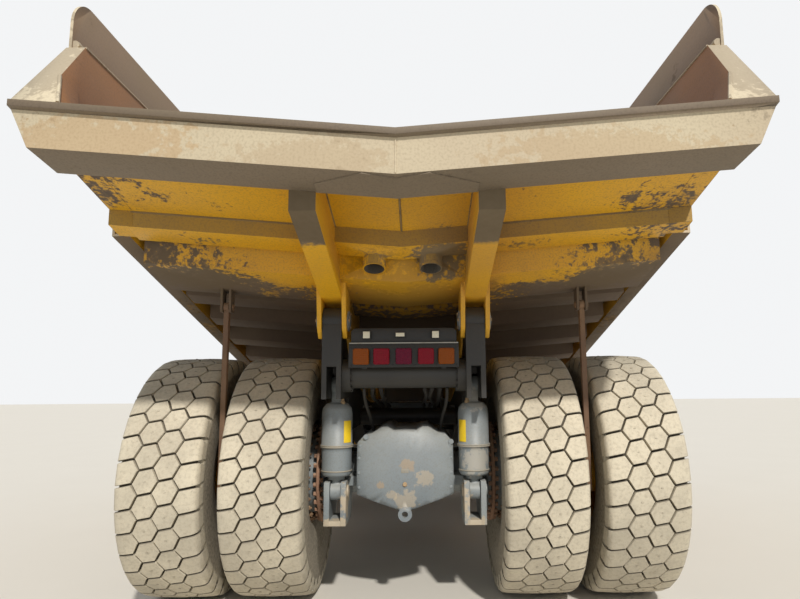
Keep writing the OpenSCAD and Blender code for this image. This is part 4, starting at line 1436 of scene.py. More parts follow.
@dataclass
class BedDress:
    """What is welded or bolted onto the bed beyond its solids."""
    shop: Workshop
    tail: float
    tail_z: float = 3.355
    slope: float = 0.24933
    vee: float = 0.0829
    beam_low: float = 0.23
    beam_step: float = 0.06
    lip_over: float = 0.035
    beam_depth: float = 0.30
    plate_t: float = 0.010
    bolster_in: float = 0.5095
    bolster_out: float = 0.6805
    wall_x: float = 2.1
    rail_z: float = 4.17
    rail_start: float = -1.5
    rail_end: float = 4.12
    rib_y: float = 3.425

    def under(self, x: float, y: float) -> float:
        """Height of the floor's underside."""
        return self.tail_z - (self.tail - y) * self.slope + abs(x) * self.vee

    def doubler(self) -> Object:
        """The five-cornered plate under the beam's middle, between the bolsters.

        Returns:
            The piece.
        """
        rings = []
        for x, start in ((-0.507, 0.62), (-0.20, 0.02), (0.0, 0.13), (0.20, 0.02), (0.507, 0.62)):
            ring = []
            for share, drop in ((start, 0.0), (0.985, 0.0), (0.985, self.plate_t), (start, self.plate_t)):
                y = self.tail - self.lip_over - (self.beam_depth - self.lip_over) * share
                z = self.tail_z - self.beam_low - self.beam_step * share + abs(x) * self.vee - drop + 0.0005
                ring.append((x, y, z))
            rings.append(ring)
        # The doubler takes the beam's underside finish, painted shade included
        return self.shop.loft("beam_doubler", rings, "beam_under")

    def beads(self) -> list[Object]:
        """Weld beads of the beam, the floor, the top rails and the tail posts, and the rails' round ends.

        Returns:
            The pieces.
        """
        shop, face_y = self.shop, self.tail - self.lip_over
        made = [shop.tube(
            "bead_face", [(0, face_y, self.tail_z - 0.02), (0, face_y, self.tail_z - 0.225)], 0.006,
            "tail_steel", 8)]
        for x in (0.0, self.bolster_in, self.bolster_out, -self.bolster_in, -self.bolster_out):
            path = [(x, y, self.under(x, y) - 0.001) for y in (self.tail - 0.305, 3.63, 3.43)]
            made.append(shop.tube("bead_floor", path, 0.008, "seam_dirt", 8))
        cap = [(-0.05, 0.0), (-0.05, 0.03), (0.0, 0.034), (0.02, 0.03), (0.02, 0.0)]
        for sign in (-1, 1):
            rail, foot = sign * (self.wall_x + 0.002), sign * (self.wall_x - 0.115)
            edge = [(rail, y, self.rail_z - 0.002) for y in (self.rail_start, self.rail_end)]
            post = [(rail, self.tail - 0.202, self.rail_z - 0.335),
                    (foot, self.tail - 0.014, self.rail_z - 0.605)]
            end = (sign * (self.wall_x + 0.085), self.rail_end - 0.03, self.rail_z + 0.03)
            made += [shop.tube("bead_rail", edge, 0.009, "tail_steel", 8),
                     shop.tube("bead_post", post, 0.012, "tail_steel", 8),
                     shop.rolled("rail_end", cap, end, "tail_steel", 16, 1)]
        return made

    def scales(self, start: Point, end: Point, size: float = 0.011) -> Object:
        """The ripples of a weld along a straight seam.

        Args:
            start: where the seam starts.
            end: where it ends.
            size: radius of a ripple.

        Returns:
            The ripples, as one piece.
        """
        run = Vector(end) - Vector(start)
        count = int(run.length / (size * 0.75))
        profile = [(-0.45 * size, 0.0), (-0.3 * size, size * 0.8), (0.0, size), (0.3 * size, size * 0.8),
                   (0.45 * size, 0.0)]
        ripple = self.shop.rolled("ripple", profile, (0, 0, 0), "seam_dirt", 8, 1)
        return self.shop.repeated(
            "seam", ripple, "seam_dirt", count, centre=start, pace=tuple(run / count), jitter=0.12)

    def feet(self) -> Object:
        """The side walls' foot behind the ducts, with the first rib's end under it.

        Returns:
            The piece.
        """
        parts, skin = [], 0.0015
        for sign in (-1, 1):
            for front, back, low, high in (
                    (3.252, self.tail - 0.382, 0.0, 0.048), (3.252, self.rib_y, -0.12, 0.0)):
                edge = ((front - skin, low - skin), (back + skin, low - skin), (back + skin, high + skin),
                        (front - skin, high + skin))
                rings = [[(sign * x, y, self.under(x, y) + lift) for y, lift in edge] for x in (2.06, 2.24)]
                foot = self.shop.loft("wall_foot", rings, "bed_underside")
                # The rib end's rear face takes the rib's scuffs and painted shade
                foot.data.materials.append(self.shop.palette["rib_scuffed"])
                for face in foot.data.polygons:
                    face.material_index = int(low < -0.1 and face.normal.y > 0.7)
                parts.append(foot)
        return self.shop.joined("bed_wall_feet", parts)

    def pins(self, pivot: Point, ejector: Point) -> Object:
        """Caps and bolts of the pivot pins, and heads of the rock ejectors' pins.

        Args:
            pivot: a point on the bed's pivot.
            ejector: the left ejector's hanger.

        Returns:
            The piece.
        """
        shop, parts = self.shop, []
        for sign in (-1, 1):
            for x, way in ((0.475, -1), (0.715, 1)):
                face, out = sign * x, sign * way
                cap = [(0.0, 0.0), (0.0, 0.088), (0.010, 0.088), (0.014, 0.083), (0.014, 0.05),
                       (0.022, 0.046), (0.022, 0.0)]
                parts.append(shop.rolled(
                    "pin_cap", [(out * along, r) for along, r in cap], (face, *pivot[1:]), "axle_grey", 40))
                parts += [shop.bolt(0.014, 0.012, 0, out, (face + out * 0.013, pivot[1] + dy, pivot[2] + dz))
                          for dy, dz in ((0.066, 0.0), (-0.033, 0.057), (-0.033, -0.057))]
        for sign in (-1, 1):
            for side in (-1, 1):
                head = [(0.0, 0.0), (0.0, 0.03), (side * 0.008, 0.03), (side * 0.012, 0.024),
                        (side * 0.012, 0.0)]
                parts.append(shop.rolled(
                    "ejector_pin_head", head, (sign * ejector[0] + side * 0.047, *ejector[1:]), "rusty_bar",
                    6))
        return shop.joined("bed_pin_caps", parts)

    def seams(self) -> Object:
        """Rippled welds along the side walls, the first rib and the beam.

        Returns:
            The piece.
        """
        beam_y = self.tail - self.beam_depth
        parts = []
        for sign in (-1, 1):
            # Start and end of a seam, across and along, and its lift over the floor's underside
            for start, end, lift in (
                    ((2.09, 1.9), (2.09, 4.5), 0.05), ((0.70, self.rib_y), (2.08, self.rib_y), -0.004),
                    ((0.70, beam_y), (2.08, beam_y), -0.004)):
                parts.append(self.scales(*((sign * x, y, self.under(x, y) + lift) for x, y in (start, end))))
        return self.shop.joined("bed_weld_scales", parts)

    def dress(self, pivot: Point, ejector: Point) -> None:
        """Everything on the bed, its pins at the pivot and the left ejector's hanger.

        Args:
            pivot: middle of the tilt's axis.
            ejector: where a rock ejector hangs.
        """
        shop = self.shop
        shop.hand_over(
            "bed", self.feet(), self.pins(pivot, ejector), self.doubler(),
            shop.joined("bed_weld_beads", self.beads()), self.seams())


@dataclass
class AxleDress:
    """The rear cover's bolts, plug and plate, the brakes' bolts and pipes, and the struts' fittings."""
    shop: Workshop
    axle: Point
    strut_x: float = 0.595
    strut_back: float = 0.62
    strut_r: float = 0.1345
    dome: tuple[tuple[float, float], ...] = (
        (0.0, 0.8), (0.2, 0.79), (0.36, 0.748), (0.5, 0.66), (0.62, 0.52))
    bolts: tuple[tuple[float, float], ...] = ((0.385, 0.30), (0.39, 0.20), (0.39, 0.08), (0.388, -0.04))

    def back(self, x: float, z: float) -> float:
        """How far behind the axle the cover's face lies."""
        return between(self.dome, math.hypot(x, z - 0.06))

    def cover(self) -> Object:
        """Bolts round the cover, its plug, its blank plate and its bosses.

        Returns:
            The piece.
        """
        shop = self.shop
        _, y0, z0 = self.axle
        places = [(s * x, y0 + self.back(x, z) - 0.006, z0 + z) for x, z in self.bolts for s in (1, -1)]
        plug_z, half, low, high = -0.005, 0.032, 0.085, 0.118
        plate = [(-half, low), (half, low), (half, high), (-half, high)]
        parts = [shop.bolts(0.013, 0.012, 1, 1, places, "axle_grey"),
                 shop.bolt(0.019, 0.018, 1, 1, (0.0, y0 + self.back(0, plug_z) - 0.004, z0 + plug_z)),
                 shop.plate("cover_plate", plate, 1, y0 + self.back(0.03, high) - 0.004, y0 + 0.800,
                            "ring_steel", 0.001, (0, 0, z0))]
        boss = [(0.0, 0.0), (0.0, 0.022), (0.028, 0.022), (0.028, 0.0)]
        for x, z in ((0.335, 0.375), (-0.395, 0.33)):
            parts.append(shop.rolled(
                "cover_boss", boss, (x, y0 + self.back(x, z) - 0.004, z0 + z), "axle_grey", 20, 1))
        return shop.joined("axle_cover_fittings", parts)

    def brakes(self) -> Object:
        """Bolts and flanges of the brake housings and the pipes along the axle.

        Returns:
            The piece.
        """
        shop, parts = self.shop, []
        _, y, z = self.axle
        flange = [(-0.015, 0.365), (-0.015, 0.455), (-0.011, 0.460), (0.011, 0.460), (0.015, 0.455),
                  (0.015, 0.365)]
        for sign in (-1, 1):
            parts += [shop.bolt_circle(
                          0.016, 0.014, -sign, (0, radius, 0), 20, (sign * 0.74, y, z), "axle_grey")
                      for radius in (0.34, 0.235)]
            centre = (sign * 0.785, y, z)
            parts.append(shop.rolled("hub_flange", flange, centre, "rusty_bolts", 72))
            parts += [shop.bolt_circle(
                          0.021, 0.03, way, (way * 0.014, 0.432, 0), 32, centre, "rusty_bolts", 0.05 * way)
                      for way in (-1, 1)]
            for lift, shift in ((0.215, 0.0), (0.208, 0.05)):
                path = [(sign * 0.42, y + 0.05 + shift, z + lift - 0.012),
                        (sign * 0.55, y + 0.04 + shift, z + lift),
                        (sign * 0.68, y + 0.06 + shift, z + lift + 0.02),
                        (sign * 0.735, y + 0.09 + shift, z + 0.28)]
                parts.append(shop.tube("brake_pipe", path, 0.011, "black_rubber", 8, curved=True))
        return shop.joined("brake_fittings", parts)

    def label(self, sign: int) -> Object:
        """A blank yellow label wrapped round a strut, on its inner side.

        Args:
            sign: 1 or -1, the truck's side.

        Returns:
            The label.
        """
        low, high, skin = 1.415, 1.60, self.strut_r + 0.0012
        rings = []
        for k in range(7):
            turn = math.radians(33 + 6.0 * k)
            rings.append(
                [(sign * (self.strut_x - radius * math.sin(turn)),
                  self.axle[1] + self.strut_back + radius * math.cos(turn), z)
                 for radius, z in ((self.strut_r, low), (skin, low), (skin, high), (self.strut_r, high))])
        return self.shop.loft("strut_label", rings, "label_yellow")

    def struts(self) -> Object:
        """Labels, gland rings, filling valves and pin heads of the rear struts.

        Returns:
            The piece.
        """
        shop, parts = self.shop, []
        y = self.axle[1] + self.strut_back
        valve = [(0.0, 0.0), (0.0, 0.020), (0.03, 0.020), (0.034, 0.014), (0.055, 0.013), (0.058, 0.0)]
        for sign in (-1, 1):
            x = sign * self.strut_x
            parts.append(self.label(sign))
            for z, radius in ((1.376, 0.1405), (1.388, 0.1405), (1.175, 0.1315)):
                ring = [(-0.006, radius - 0.006), (-0.006, radius), (0.0, radius + 0.004), (0.006, radius),
                        (0.006, radius - 0.006)]
                parts.append(shop.rolled("strut_ring", ring, (x, y, z), "ring_steel", 48, 2))
            parts.append(shop.rolled(
                "strut_valve", valve, (x - sign * 0.055, y + 0.055, 1.733), "dusty_iron", 12, 2))
            # Height of a pin, and where its inner and outer ends lie across
            for z, inner, outer in ((1.0, 0.502, 0.688), (1.9, 0.514, 0.676)):
                for out, edge in ((-sign, inner), (sign, outer)):
                    head = [(0.0, 0.0), (0.0, 0.052), (out * 0.012, 0.052), (out * 0.016, 0.045),
                            (out * 0.016, 0.018), (out * 0.010, 0.014), (out * 0.010, 0.0)]
                    parts.append(shop.rolled("strut_pin_head", head, (sign * edge, y, z), "axle_grey", 28))
        return shop.joined("strut_fittings", parts)

    def dress(self) -> None:
        """Everything on the axle and the struts."""
        self.shop.hand_over("frame", self.cover(), self.brakes(), self.struts())


@dataclass
class FrameDress:
    """Hoses, pipes and bolts of the frame, and the plate with the work lamps."""
    shop: Workshop
    rear_y: float
    lamp_y: float
    ledge_z: float = 2.25
    plate_top: float = 2.372
    tube_z: float = 1.985
    shoulder_z: float = 1.475

    def shoulder(self, x: float) -> float:
        """Height of the axle housing's shoulder at a distance from the middle."""
        return self.shoulder_z - max(abs(x) - 0.30, 0.0) * 0.6

    def lamps(self) -> Object:
        """The plate over the tail lamps, its two work lamps and the alarm between.

        Returns:
            The piece.
        """
        shop, y = self.shop, self.lamp_y
        half, low, high = 0.44, self.ledge_z - 0.001, self.plate_top
        outline = [(-half, low), (half, low), (half, high - 0.02), (half - 0.03, high), (0.03 - half, high),
                   (-half, high - 0.02)]
        parts = [shop.plate("lamp_plate", outline, 1, y - 0.050, y - 0.042, "tail_black", 0.002)]
        # Name, lowest and highest corner from the lamps' plane, finish and rounding
        blocks = [("alarm", (-0.012, -0.043, 2.294), (0.072, -0.010, 2.336), "black_paint", 0.005),
                  ("alarm_face", (-0.006, -0.011, 2.300), (0.066, -0.007, 2.330), "lens_pale", 0.002),
                  ("ledge_edge", (-0.452, -0.021, self.ledge_z - 0.008),
                   (0.452, -0.016, self.ledge_z + 0.002), "plate_steel", 0.001)]
        for x in (0.31, -0.264):
            blocks += [("work_lamp", (x - 0.034, -0.043, 2.281), (x + 0.034, -0.012, 2.349), "tail_black",
                        0.006),
                       ("work_lens", (x - 0.028, -0.013, 2.287), (x + 0.028, -0.008, 2.343), "lens_pale",
                        0.003)]
        for name, start, end, finish, width in blocks:
            parts.append(shop.block(
                name, (start[0], y + start[1], start[2]), (end[0], y + end[1], end[2]), finish, width))
        places = [(x, y, z) for x in (-0.44, -0.267, -0.092, 0.092, 0.267, 0.44) for z in (2.062, 2.208)]
        parts.append(shop.bolts(0.009, 0.008, 1, 1, places, "tail_black"))
        return shop.joined("work_lamps", parts)

    def hoses(self) -> Object:
        """Hydraulic hoses and wiring looms clipped along the frame's middle.

        Returns:
            The piece.
        """
        shop, y, z = self.shop, self.rear_y, self.tube_z
        parts = []
        for number, x in enumerate((-0.30, -0.235, -0.17, 0.20, 0.27)):
            sway = 0.02 * math.sin(2.1 * number)
            path = [(x, y + 0.83, z - 0.118), (x + sway, y + 0.60, z - 0.18), (x - sway, y + 0.15, z - 0.26),
                    (x, y - 0.35, z - 0.29), (x, y - 0.70, 1.665)]
            parts.append(shop.tube("frame_hose", path, 0.017, "black_rubber", 10, curved=True))
        for x in (-0.36, 0.34):
            path = [(x, y + 0.86, z - 0.109), (x, y + 0.78, z - 0.20), (x * 0.9, y + 0.55, 1.60),
                    (x * 0.86, y + 0.36, self.shoulder(x * 0.86) - 0.006)]
            parts.append(shop.tube("brake_hose", path, 0.014, "black_rubber", 10, curved=True))
        for x in (-0.508, 0.508):
            for low in (1.30, 1.37):
                path = [(x, y - 5.3, low), (x, y - 2.2, low), (x, y - 1.9, low + 0.26),
                        (x, y - 0.9, low + 0.29)]
                parts.append(shop.tube("frame_pipe", path, 0.011, "plate_steel", 8))
        return shop.joined("frame_hoses", parts)

    def tube_bolts(self) -> Object:
        """Bolts round the cross tube's collars.

        Returns:
            The piece.
        """
        parts = [self.shop.bolt_circle(
                     0.013, 0.012, -sign, (0, 0.125, 0), 12, (sign * 0.445, self.rear_y + 0.84, self.tube_z),
                     "frame_black") for sign in (-1, 1)]
        return self.shop.joined("collar_bolts_all", parts)

    def dress(self) -> None:
        """Everything on the frame's tail."""
        self.shop.hand_over("frame", self.lamps(), self.hoses(), self.tube_bolts())




@dataclass
class RimDress:
    """Wheel nuts, clamp rings, valves and hub caps."""
    shop: Workshop
    nut: float = 0.021
    nut_h: float = 0.026
    lock: float = 0.2395

    def nuts(self, name: str, x: float, way: int, radius: float, count: int, axle: Point,
             finish: str) -> Object:
        """A ring of nuts on studs round a wheel.

        Args:
            name: the piece's name.
            x: where their feet lie across.
            way: 1 or -1, the way they stand.
            radius: radius of the ring.
            count: how many.
            axle: a point on the wheel's axle.
            finish: the finish's name.

        Returns:
            The nuts, as one piece.
        """
        tall, wide = way * self.nut_h, self.nut
        profile = [(0.0, 0.0), (0.0, wide * 1.3), (way * 0.005, wide * 1.3), (way * 0.005, wide),
                   (tall * 0.9, wide), (tall, wide * 0.86), (tall, wide * 0.5), (tall * 1.5, wide * 0.45),
                   (tall * 1.5, 0.0)]
        proto = self.shop.rolled("nut", profile, (0, radius, 0), finish, 6)
        return self.shop.repeated(name, proto, finish, count, 2 * math.pi / count, centre=(x, *axle[1:]))

    def ring(self, name: str, x: float, way: int, inner: float, outer: float, thick: float, axle: Point,
             finish: str) -> Object:
        """A flat ring round the axle with a rounded rim.

        Args:
            name: the piece's name.
            x: where its back lies across.
            way: 1 or -1, the way it faces.
            inner: its inner radius.
            outer: its outer radius.
            thick: its thickness.
            axle: a point on the wheel's axle.
            finish: the finish's name.

        Returns:
            The ring.
        """
        r = min(0.004, thick / 2)
        profile = [(0.0, inner), (0.0, outer), (way * (thick - r), outer), (way * thick, outer - r),
                   (way * thick, inner + r), (way * (thick - r), inner)]
        return self.shop.rolled(name, profile, (x, *axle[1:]), finish, 72)

    def valve(self, x: float, way: int, axle: Point) -> Object:
        """A bent valve stem inside the rim, from x outwards."""
        path = [(x + way * out, axle[1] + 0.1, axle[2] + up)
                for out, up in ((0.0, 0.385), (0.06, 0.378), (0.14, 0.36))]
        return self.shop.tube("valve", path, 0.007, "plate_steel", 8, curved=True)

    def dress(self, axles: Axles) -> None:
        """All six rims.

        Args:
            axles: where the wheels are.
        """
        shop = self.shop
        for side, sign in SIDES:
            axle = axles.front
            face, cap, lock = (sign * (axles.front_x + out) for out in (0.11, 0.23, self.lock))
            parts = [self.nuts("front_nuts", face, sign, 0.275, 20, axle, "dusty_iron"),
                     self.nuts("front_cap_bolts", cap, sign, 0.125, 10, axle, "yellow_paint"),
                     self.ring("front_clamp", face, sign, 0.33, 0.418, 0.012, axle, "yellow_paint"),
                     self.ring("front_lock", lock, sign, 0.421, 0.452, 0.012, axle, "dusty_iron"),
                     self.ring("front_cap", cap, sign, 0.0005, 0.085, 0.014, axle, "yellow_paint"),
                     self.valve(face, sign, axle)]
            shop.hand_over(f"front_wheel_{side}", shop.joined(f"front_rim_fittings_{side}", parts))
            axle = axles.rear
            inner, outer = axles.rear_xs
            back, face, lock, hub = (sign * x for x in (inner - 0.245, outer, outer + self.lock, 2.06))
            parts = [self.nuts("rear_nuts", face, sign, 0.275, 24, axle, "dusty_iron"),
                     self.ring("rear_clamp", face, sign, 0.33, 0.418, 0.012, axle, "yellow_paint"),
                     self.ring("rear_lock", lock, sign, 0.421, 0.452, 0.012, axle, "dusty_iron"),
                     self.nuts("rear_hub_bolts", hub, sign, 0.115, 12, axle, "yellow_paint"),
                     self.ring("rear_hub_cap", hub, sign, 0.0005, 0.075, 0.016, axle, "yellow_paint"),
                     self.ring("inner_clamp", back + sign * 0.004, -sign, 0.385, 0.458, 0.018, axle,
                               "rusty_bar"),
                     self.nuts("inner_nuts", back - sign * 0.014, -sign, 0.425, 26, axle, "rusty_bar"),
                     self.valve(face, sign, axle)]
            shop.hand_over(f"rear_wheels_{side}", shop.joined(f"rear_rim_fittings_{side}", parts))


@dataclass
class FrontDress:
    """Fittings of the grille, lamps, bumper, ladders, deck, mirrors and tanks."""
    shop: Workshop
    nose: float = -4.575
    lamp_xs: tuple[float, ...] = (-1.55, -1.15, 1.15, 1.55)
    lamp_z: float = 0.96
    lamp_r: float = 0.11

    def grille(self) -> Object:
        """Fins in the slots, a rim with bolts and a middle bar.

        Returns:
            The piece.
        """
        shop, y = self.shop, self.nose + 0.16
        parts = []
        for i in range(9):
            fin = shop.block("fin", (-0.0015, 0.006, 0.002), (0.0015, 0.037, 0.068), "black_paint", 0.0)
            parts.append(shop.repeated(
                "fins", fin, "plate_steel", 88, centre=(-0.783, y, 1.33 + 0.118 * i), pace=(0.018, 0, 0)))
        for x0, x1, depth, z0, z1 in (
                (-0.9, 0.9, 0.012, 2.40, 2.448), (-0.9, 0.9, 0.012, 1.262, 1.31),
                (-0.9, -0.852, 0.012, 1.31, 2.40), (0.852, 0.9, 0.012, 1.31, 2.40),
                (-0.03, 0.03, 0.010, 1.31, 2.40)):
            parts.append(shop.block("grille_rim", (x0, y - depth, z0), (x1, y + 0.001, z1), "yellow_paint"))
        places = [(x, y - 0.012, z) for z in (1.286, 2.424) for x in (-0.8, -0.4, 0.0, 0.4, 0.8)]
        places += [(x, y - 0.012, z) for x in (-0.876, 0.876) for z in (1.5, 1.85, 2.2)]
        parts.append(shop.bolts(0.014, 0.010, 1, -1, places, "dusty_iron"))
        return shop.joined("grille_fittings", parts)

    def lamps(self) -> Object:
        """Bezels, crowned lenses and guard bars of the four head lamps.

        Returns:
            The piece.
        """
        shop, r, z = self.shop, self.lamp_r, self.lamp_z
        bezel = [(0.003, r - 0.014), (0.001, r - 0.008), (0.003, r - 0.001), (0.014, r - 0.001),
                 (0.014, r - 0.016)]
        lens = [(0.008, 0.0), (0.009, 0.03), (0.011, 0.06), (0.013, 0.085), (0.0155, r - 0.007),
                (0.0165, r - 0.007), (0.0165, 0.0)]
        parts = []
        for x in self.lamp_xs:
            parts += [shop.rolled("bezel", bezel, (x, self.nose, z), "black_paint", 48, 1),
                      shop.rolled("lens", lens, (x, self.nose, z), "lens_pale", 48, 1)]
            parts += [shop.tube("guard", [(x + side, self.nose + 0.004, z + dz) for side in (-0.1, 0.1)],
                                0.004, "black_paint", 8) for dz in (-0.04, 0.04)]
        return shop.joined("head_lamp_fittings", parts)

    def bumper(self) -> Object:
        """Grip plates bolted to the bumper's top.

        Returns:
            The piece.
        """
        shop, y = self.shop, self.nose
        parts = [shop.block("grip", (x0, y + 0.02, 1.259), (x1, y + 0.28, 1.266), "grip_plate", 0.002)
                 for x0, x1 in ((-1.88, -0.95), (0.95, 1.88))]
        places = [(x, y + dy, 1.265) for x in (-1.82, -1.01, 1.01, 1.82) for dy in (0.06, 0.24)]
        parts.append(shop.bolts(0.012, 0.006, 2, 1, places, "plate_steel"))
        return shop.joined("bumper_fittings", parts)

    def ladders(self) -> Object:
        """A grip plate on each rung.

        Returns:
            The piece.
        """
        parts = []
        for x0, x1 in ((-1.927, -1.523), (1.523, 1.927)):
            for i in range(7):
                y = self.nose + 0.312 + max(0, i - 2) * 0.018
                z = 0.590 + 0.27 * i
                parts.append(self.shop.block(
                    "rung_grip", (x0, y + 0.002, z - 0.001), (x1, y + 0.054, z + 0.004), "grip_plate", 0.001))
        return self.shop.joined("rung_grips", parts)

    def deck(self) -> Object:
        """Grip plates over the deck, feet of the rails, and fittings of the air cleaners and the exhaust.

        Returns:
            The piece.
        """
        shop, top = self.shop, 2.51
        parts = [shop.block("deck_grip", (x0, y0, top - 0.0005), (x1, y1, top + 0.004), "grip_plate", 0.0015)
                 for x0, x1, y0, y1 in (
                     (-1.40, 0.10, -4.15, -3.66), (-2.22, -1.48, -3.78, -2.70), (-1.44, 0.10, -3.18, -1.45),
                     (1.70, 2.22, -3.78, -1.46))]
        foot = [(0.0, 0.019), (0.0, 0.029), (0.008, 0.029), (0.012, 0.026), (0.03, 0.021), (0.03, 0.019)]
        parts += [shop.rolled("rail_foot", foot, (x, y, top), "yellow_paint", 24, 2) for x in (-2.27, 2.27)
                  for y in (-3.675, -2.925, -2.175, -1.485)]

        def bands(place: Point, heights: Sequence[float], inner: float, outer: float, tall: float,
                  finish: str, steps: int) -> None:
            """Adds straps round an upright can at some heights."""
            for z in heights:
                band = [(z, inner), (z, outer), (z + tall, outer), (z + tall, inner)]
                parts.append(shop.rolled("band", band, place, finish, steps, 2))

        lid = [(0.649, 0.0), (0.649, 0.196), (0.664, 0.196), (0.684, 0.17), (0.70, 0.10), (0.704, 0.0)]
        cap = [(0.70, 0.0), (0.70, 0.07), (0.735, 0.07), (0.74, 0.12), (0.77, 0.12), (0.79, 0.09),
               (0.795, 0.0)]
        for x in (-1.25, -0.75):
            place = (x, self.nose + 1.15, top)
            bands(place, (0.10, 0.46), 0.190, 0.196, 0.035, "plate_steel", 64)
            parts += [shop.rolled("cleaner_lid", lid, place, "black_paint", 64, 2),
                      shop.rolled("cleaner_cap", cap, place, "black_paint", 48, 2)]
        bands((-1.7, -1.675, top), (0.05, 0.45, 0.84), 0.090, 0.097, 0.03, "dusty_iron", 40)
        return shop.joined("deck_fittings", parts)

    def mirrors(self) -> Object:
        """Mirror faces towards the tail, with their rims.

        Returns:
            The piece.
        """
        shop, parts = self.shop, []
        for x0, x1 in ((-2.628, -2.352), (2.352, 2.628)):
            parts += [shop.block("rim", (x0, -3.747, 3.302), (x1, -3.741, 3.778), "black_rubber", 0.003),
                      shop.block("face", (x0 + 0.018, -3.743, 3.32), (x1 - 0.018, -3.738, 3.76),
                                 "mirror_face", 0.002)]
        return shop.joined("mirror_faces", parts)

    def tanks(self) -> Object:
        """Straps, filler caps and gauges of the two tanks.

        Returns:
            The piece.
        """
        shop, parts = self.shop, []
        cap = [(0.0, 0.0), (0.0, 0.06), (0.03, 0.06), (0.034, 0.075), (0.06, 0.075), (0.066, 0.068),
               (0.066, 0.0)]
        gauge = [(0.0, 0.0), (0.0, 0.035), (0.008, 0.035), (0.010, 0.03), (0.010, 0.0)]
        strap = [(1.026, 0.940), (2.058, 0.940), (2.058, 1.809), (1.026, 1.809), (1.026, 1.799),
                 (2.049, 1.799), (2.049, 0.951), (1.026, 0.951)]
        for sign in (-1, 1):
            parts += [shop.plate("tank_strap", [(sign * x, z) for x, z in strap], 1, y, y + 0.05,
                                 "black_paint", 0.001) for y in (-0.55, 0.34)]
            parts += [shop.rolled("filler", cap, (sign * 1.75, 0.12, 1.799), "black_paint", 32, 2),
                      shop.rolled("gauge", [(sign * a, r) for a, r in gauge], (sign * 2.05, 0.05, 1.45),
                                  "lens_pale", 28)]
        return shop.joined("tank_fittings", parts)

    def dress(self) -> None:
        """Everything ahead of the bed."""
        self.shop.hand_over(
            "frame", self.lamps(), self.grille(), self.bumper(), self.ladders(), self.deck(), self.mirrors(),
            self.tanks())


def frame_of(low: float, high: float, sill: float, top: float) -> tuple[tuple[float, float], ...]:
    """The four corners of a window, across and up."""
    return (low, sill), (high, sill), (high, top), (low, top)


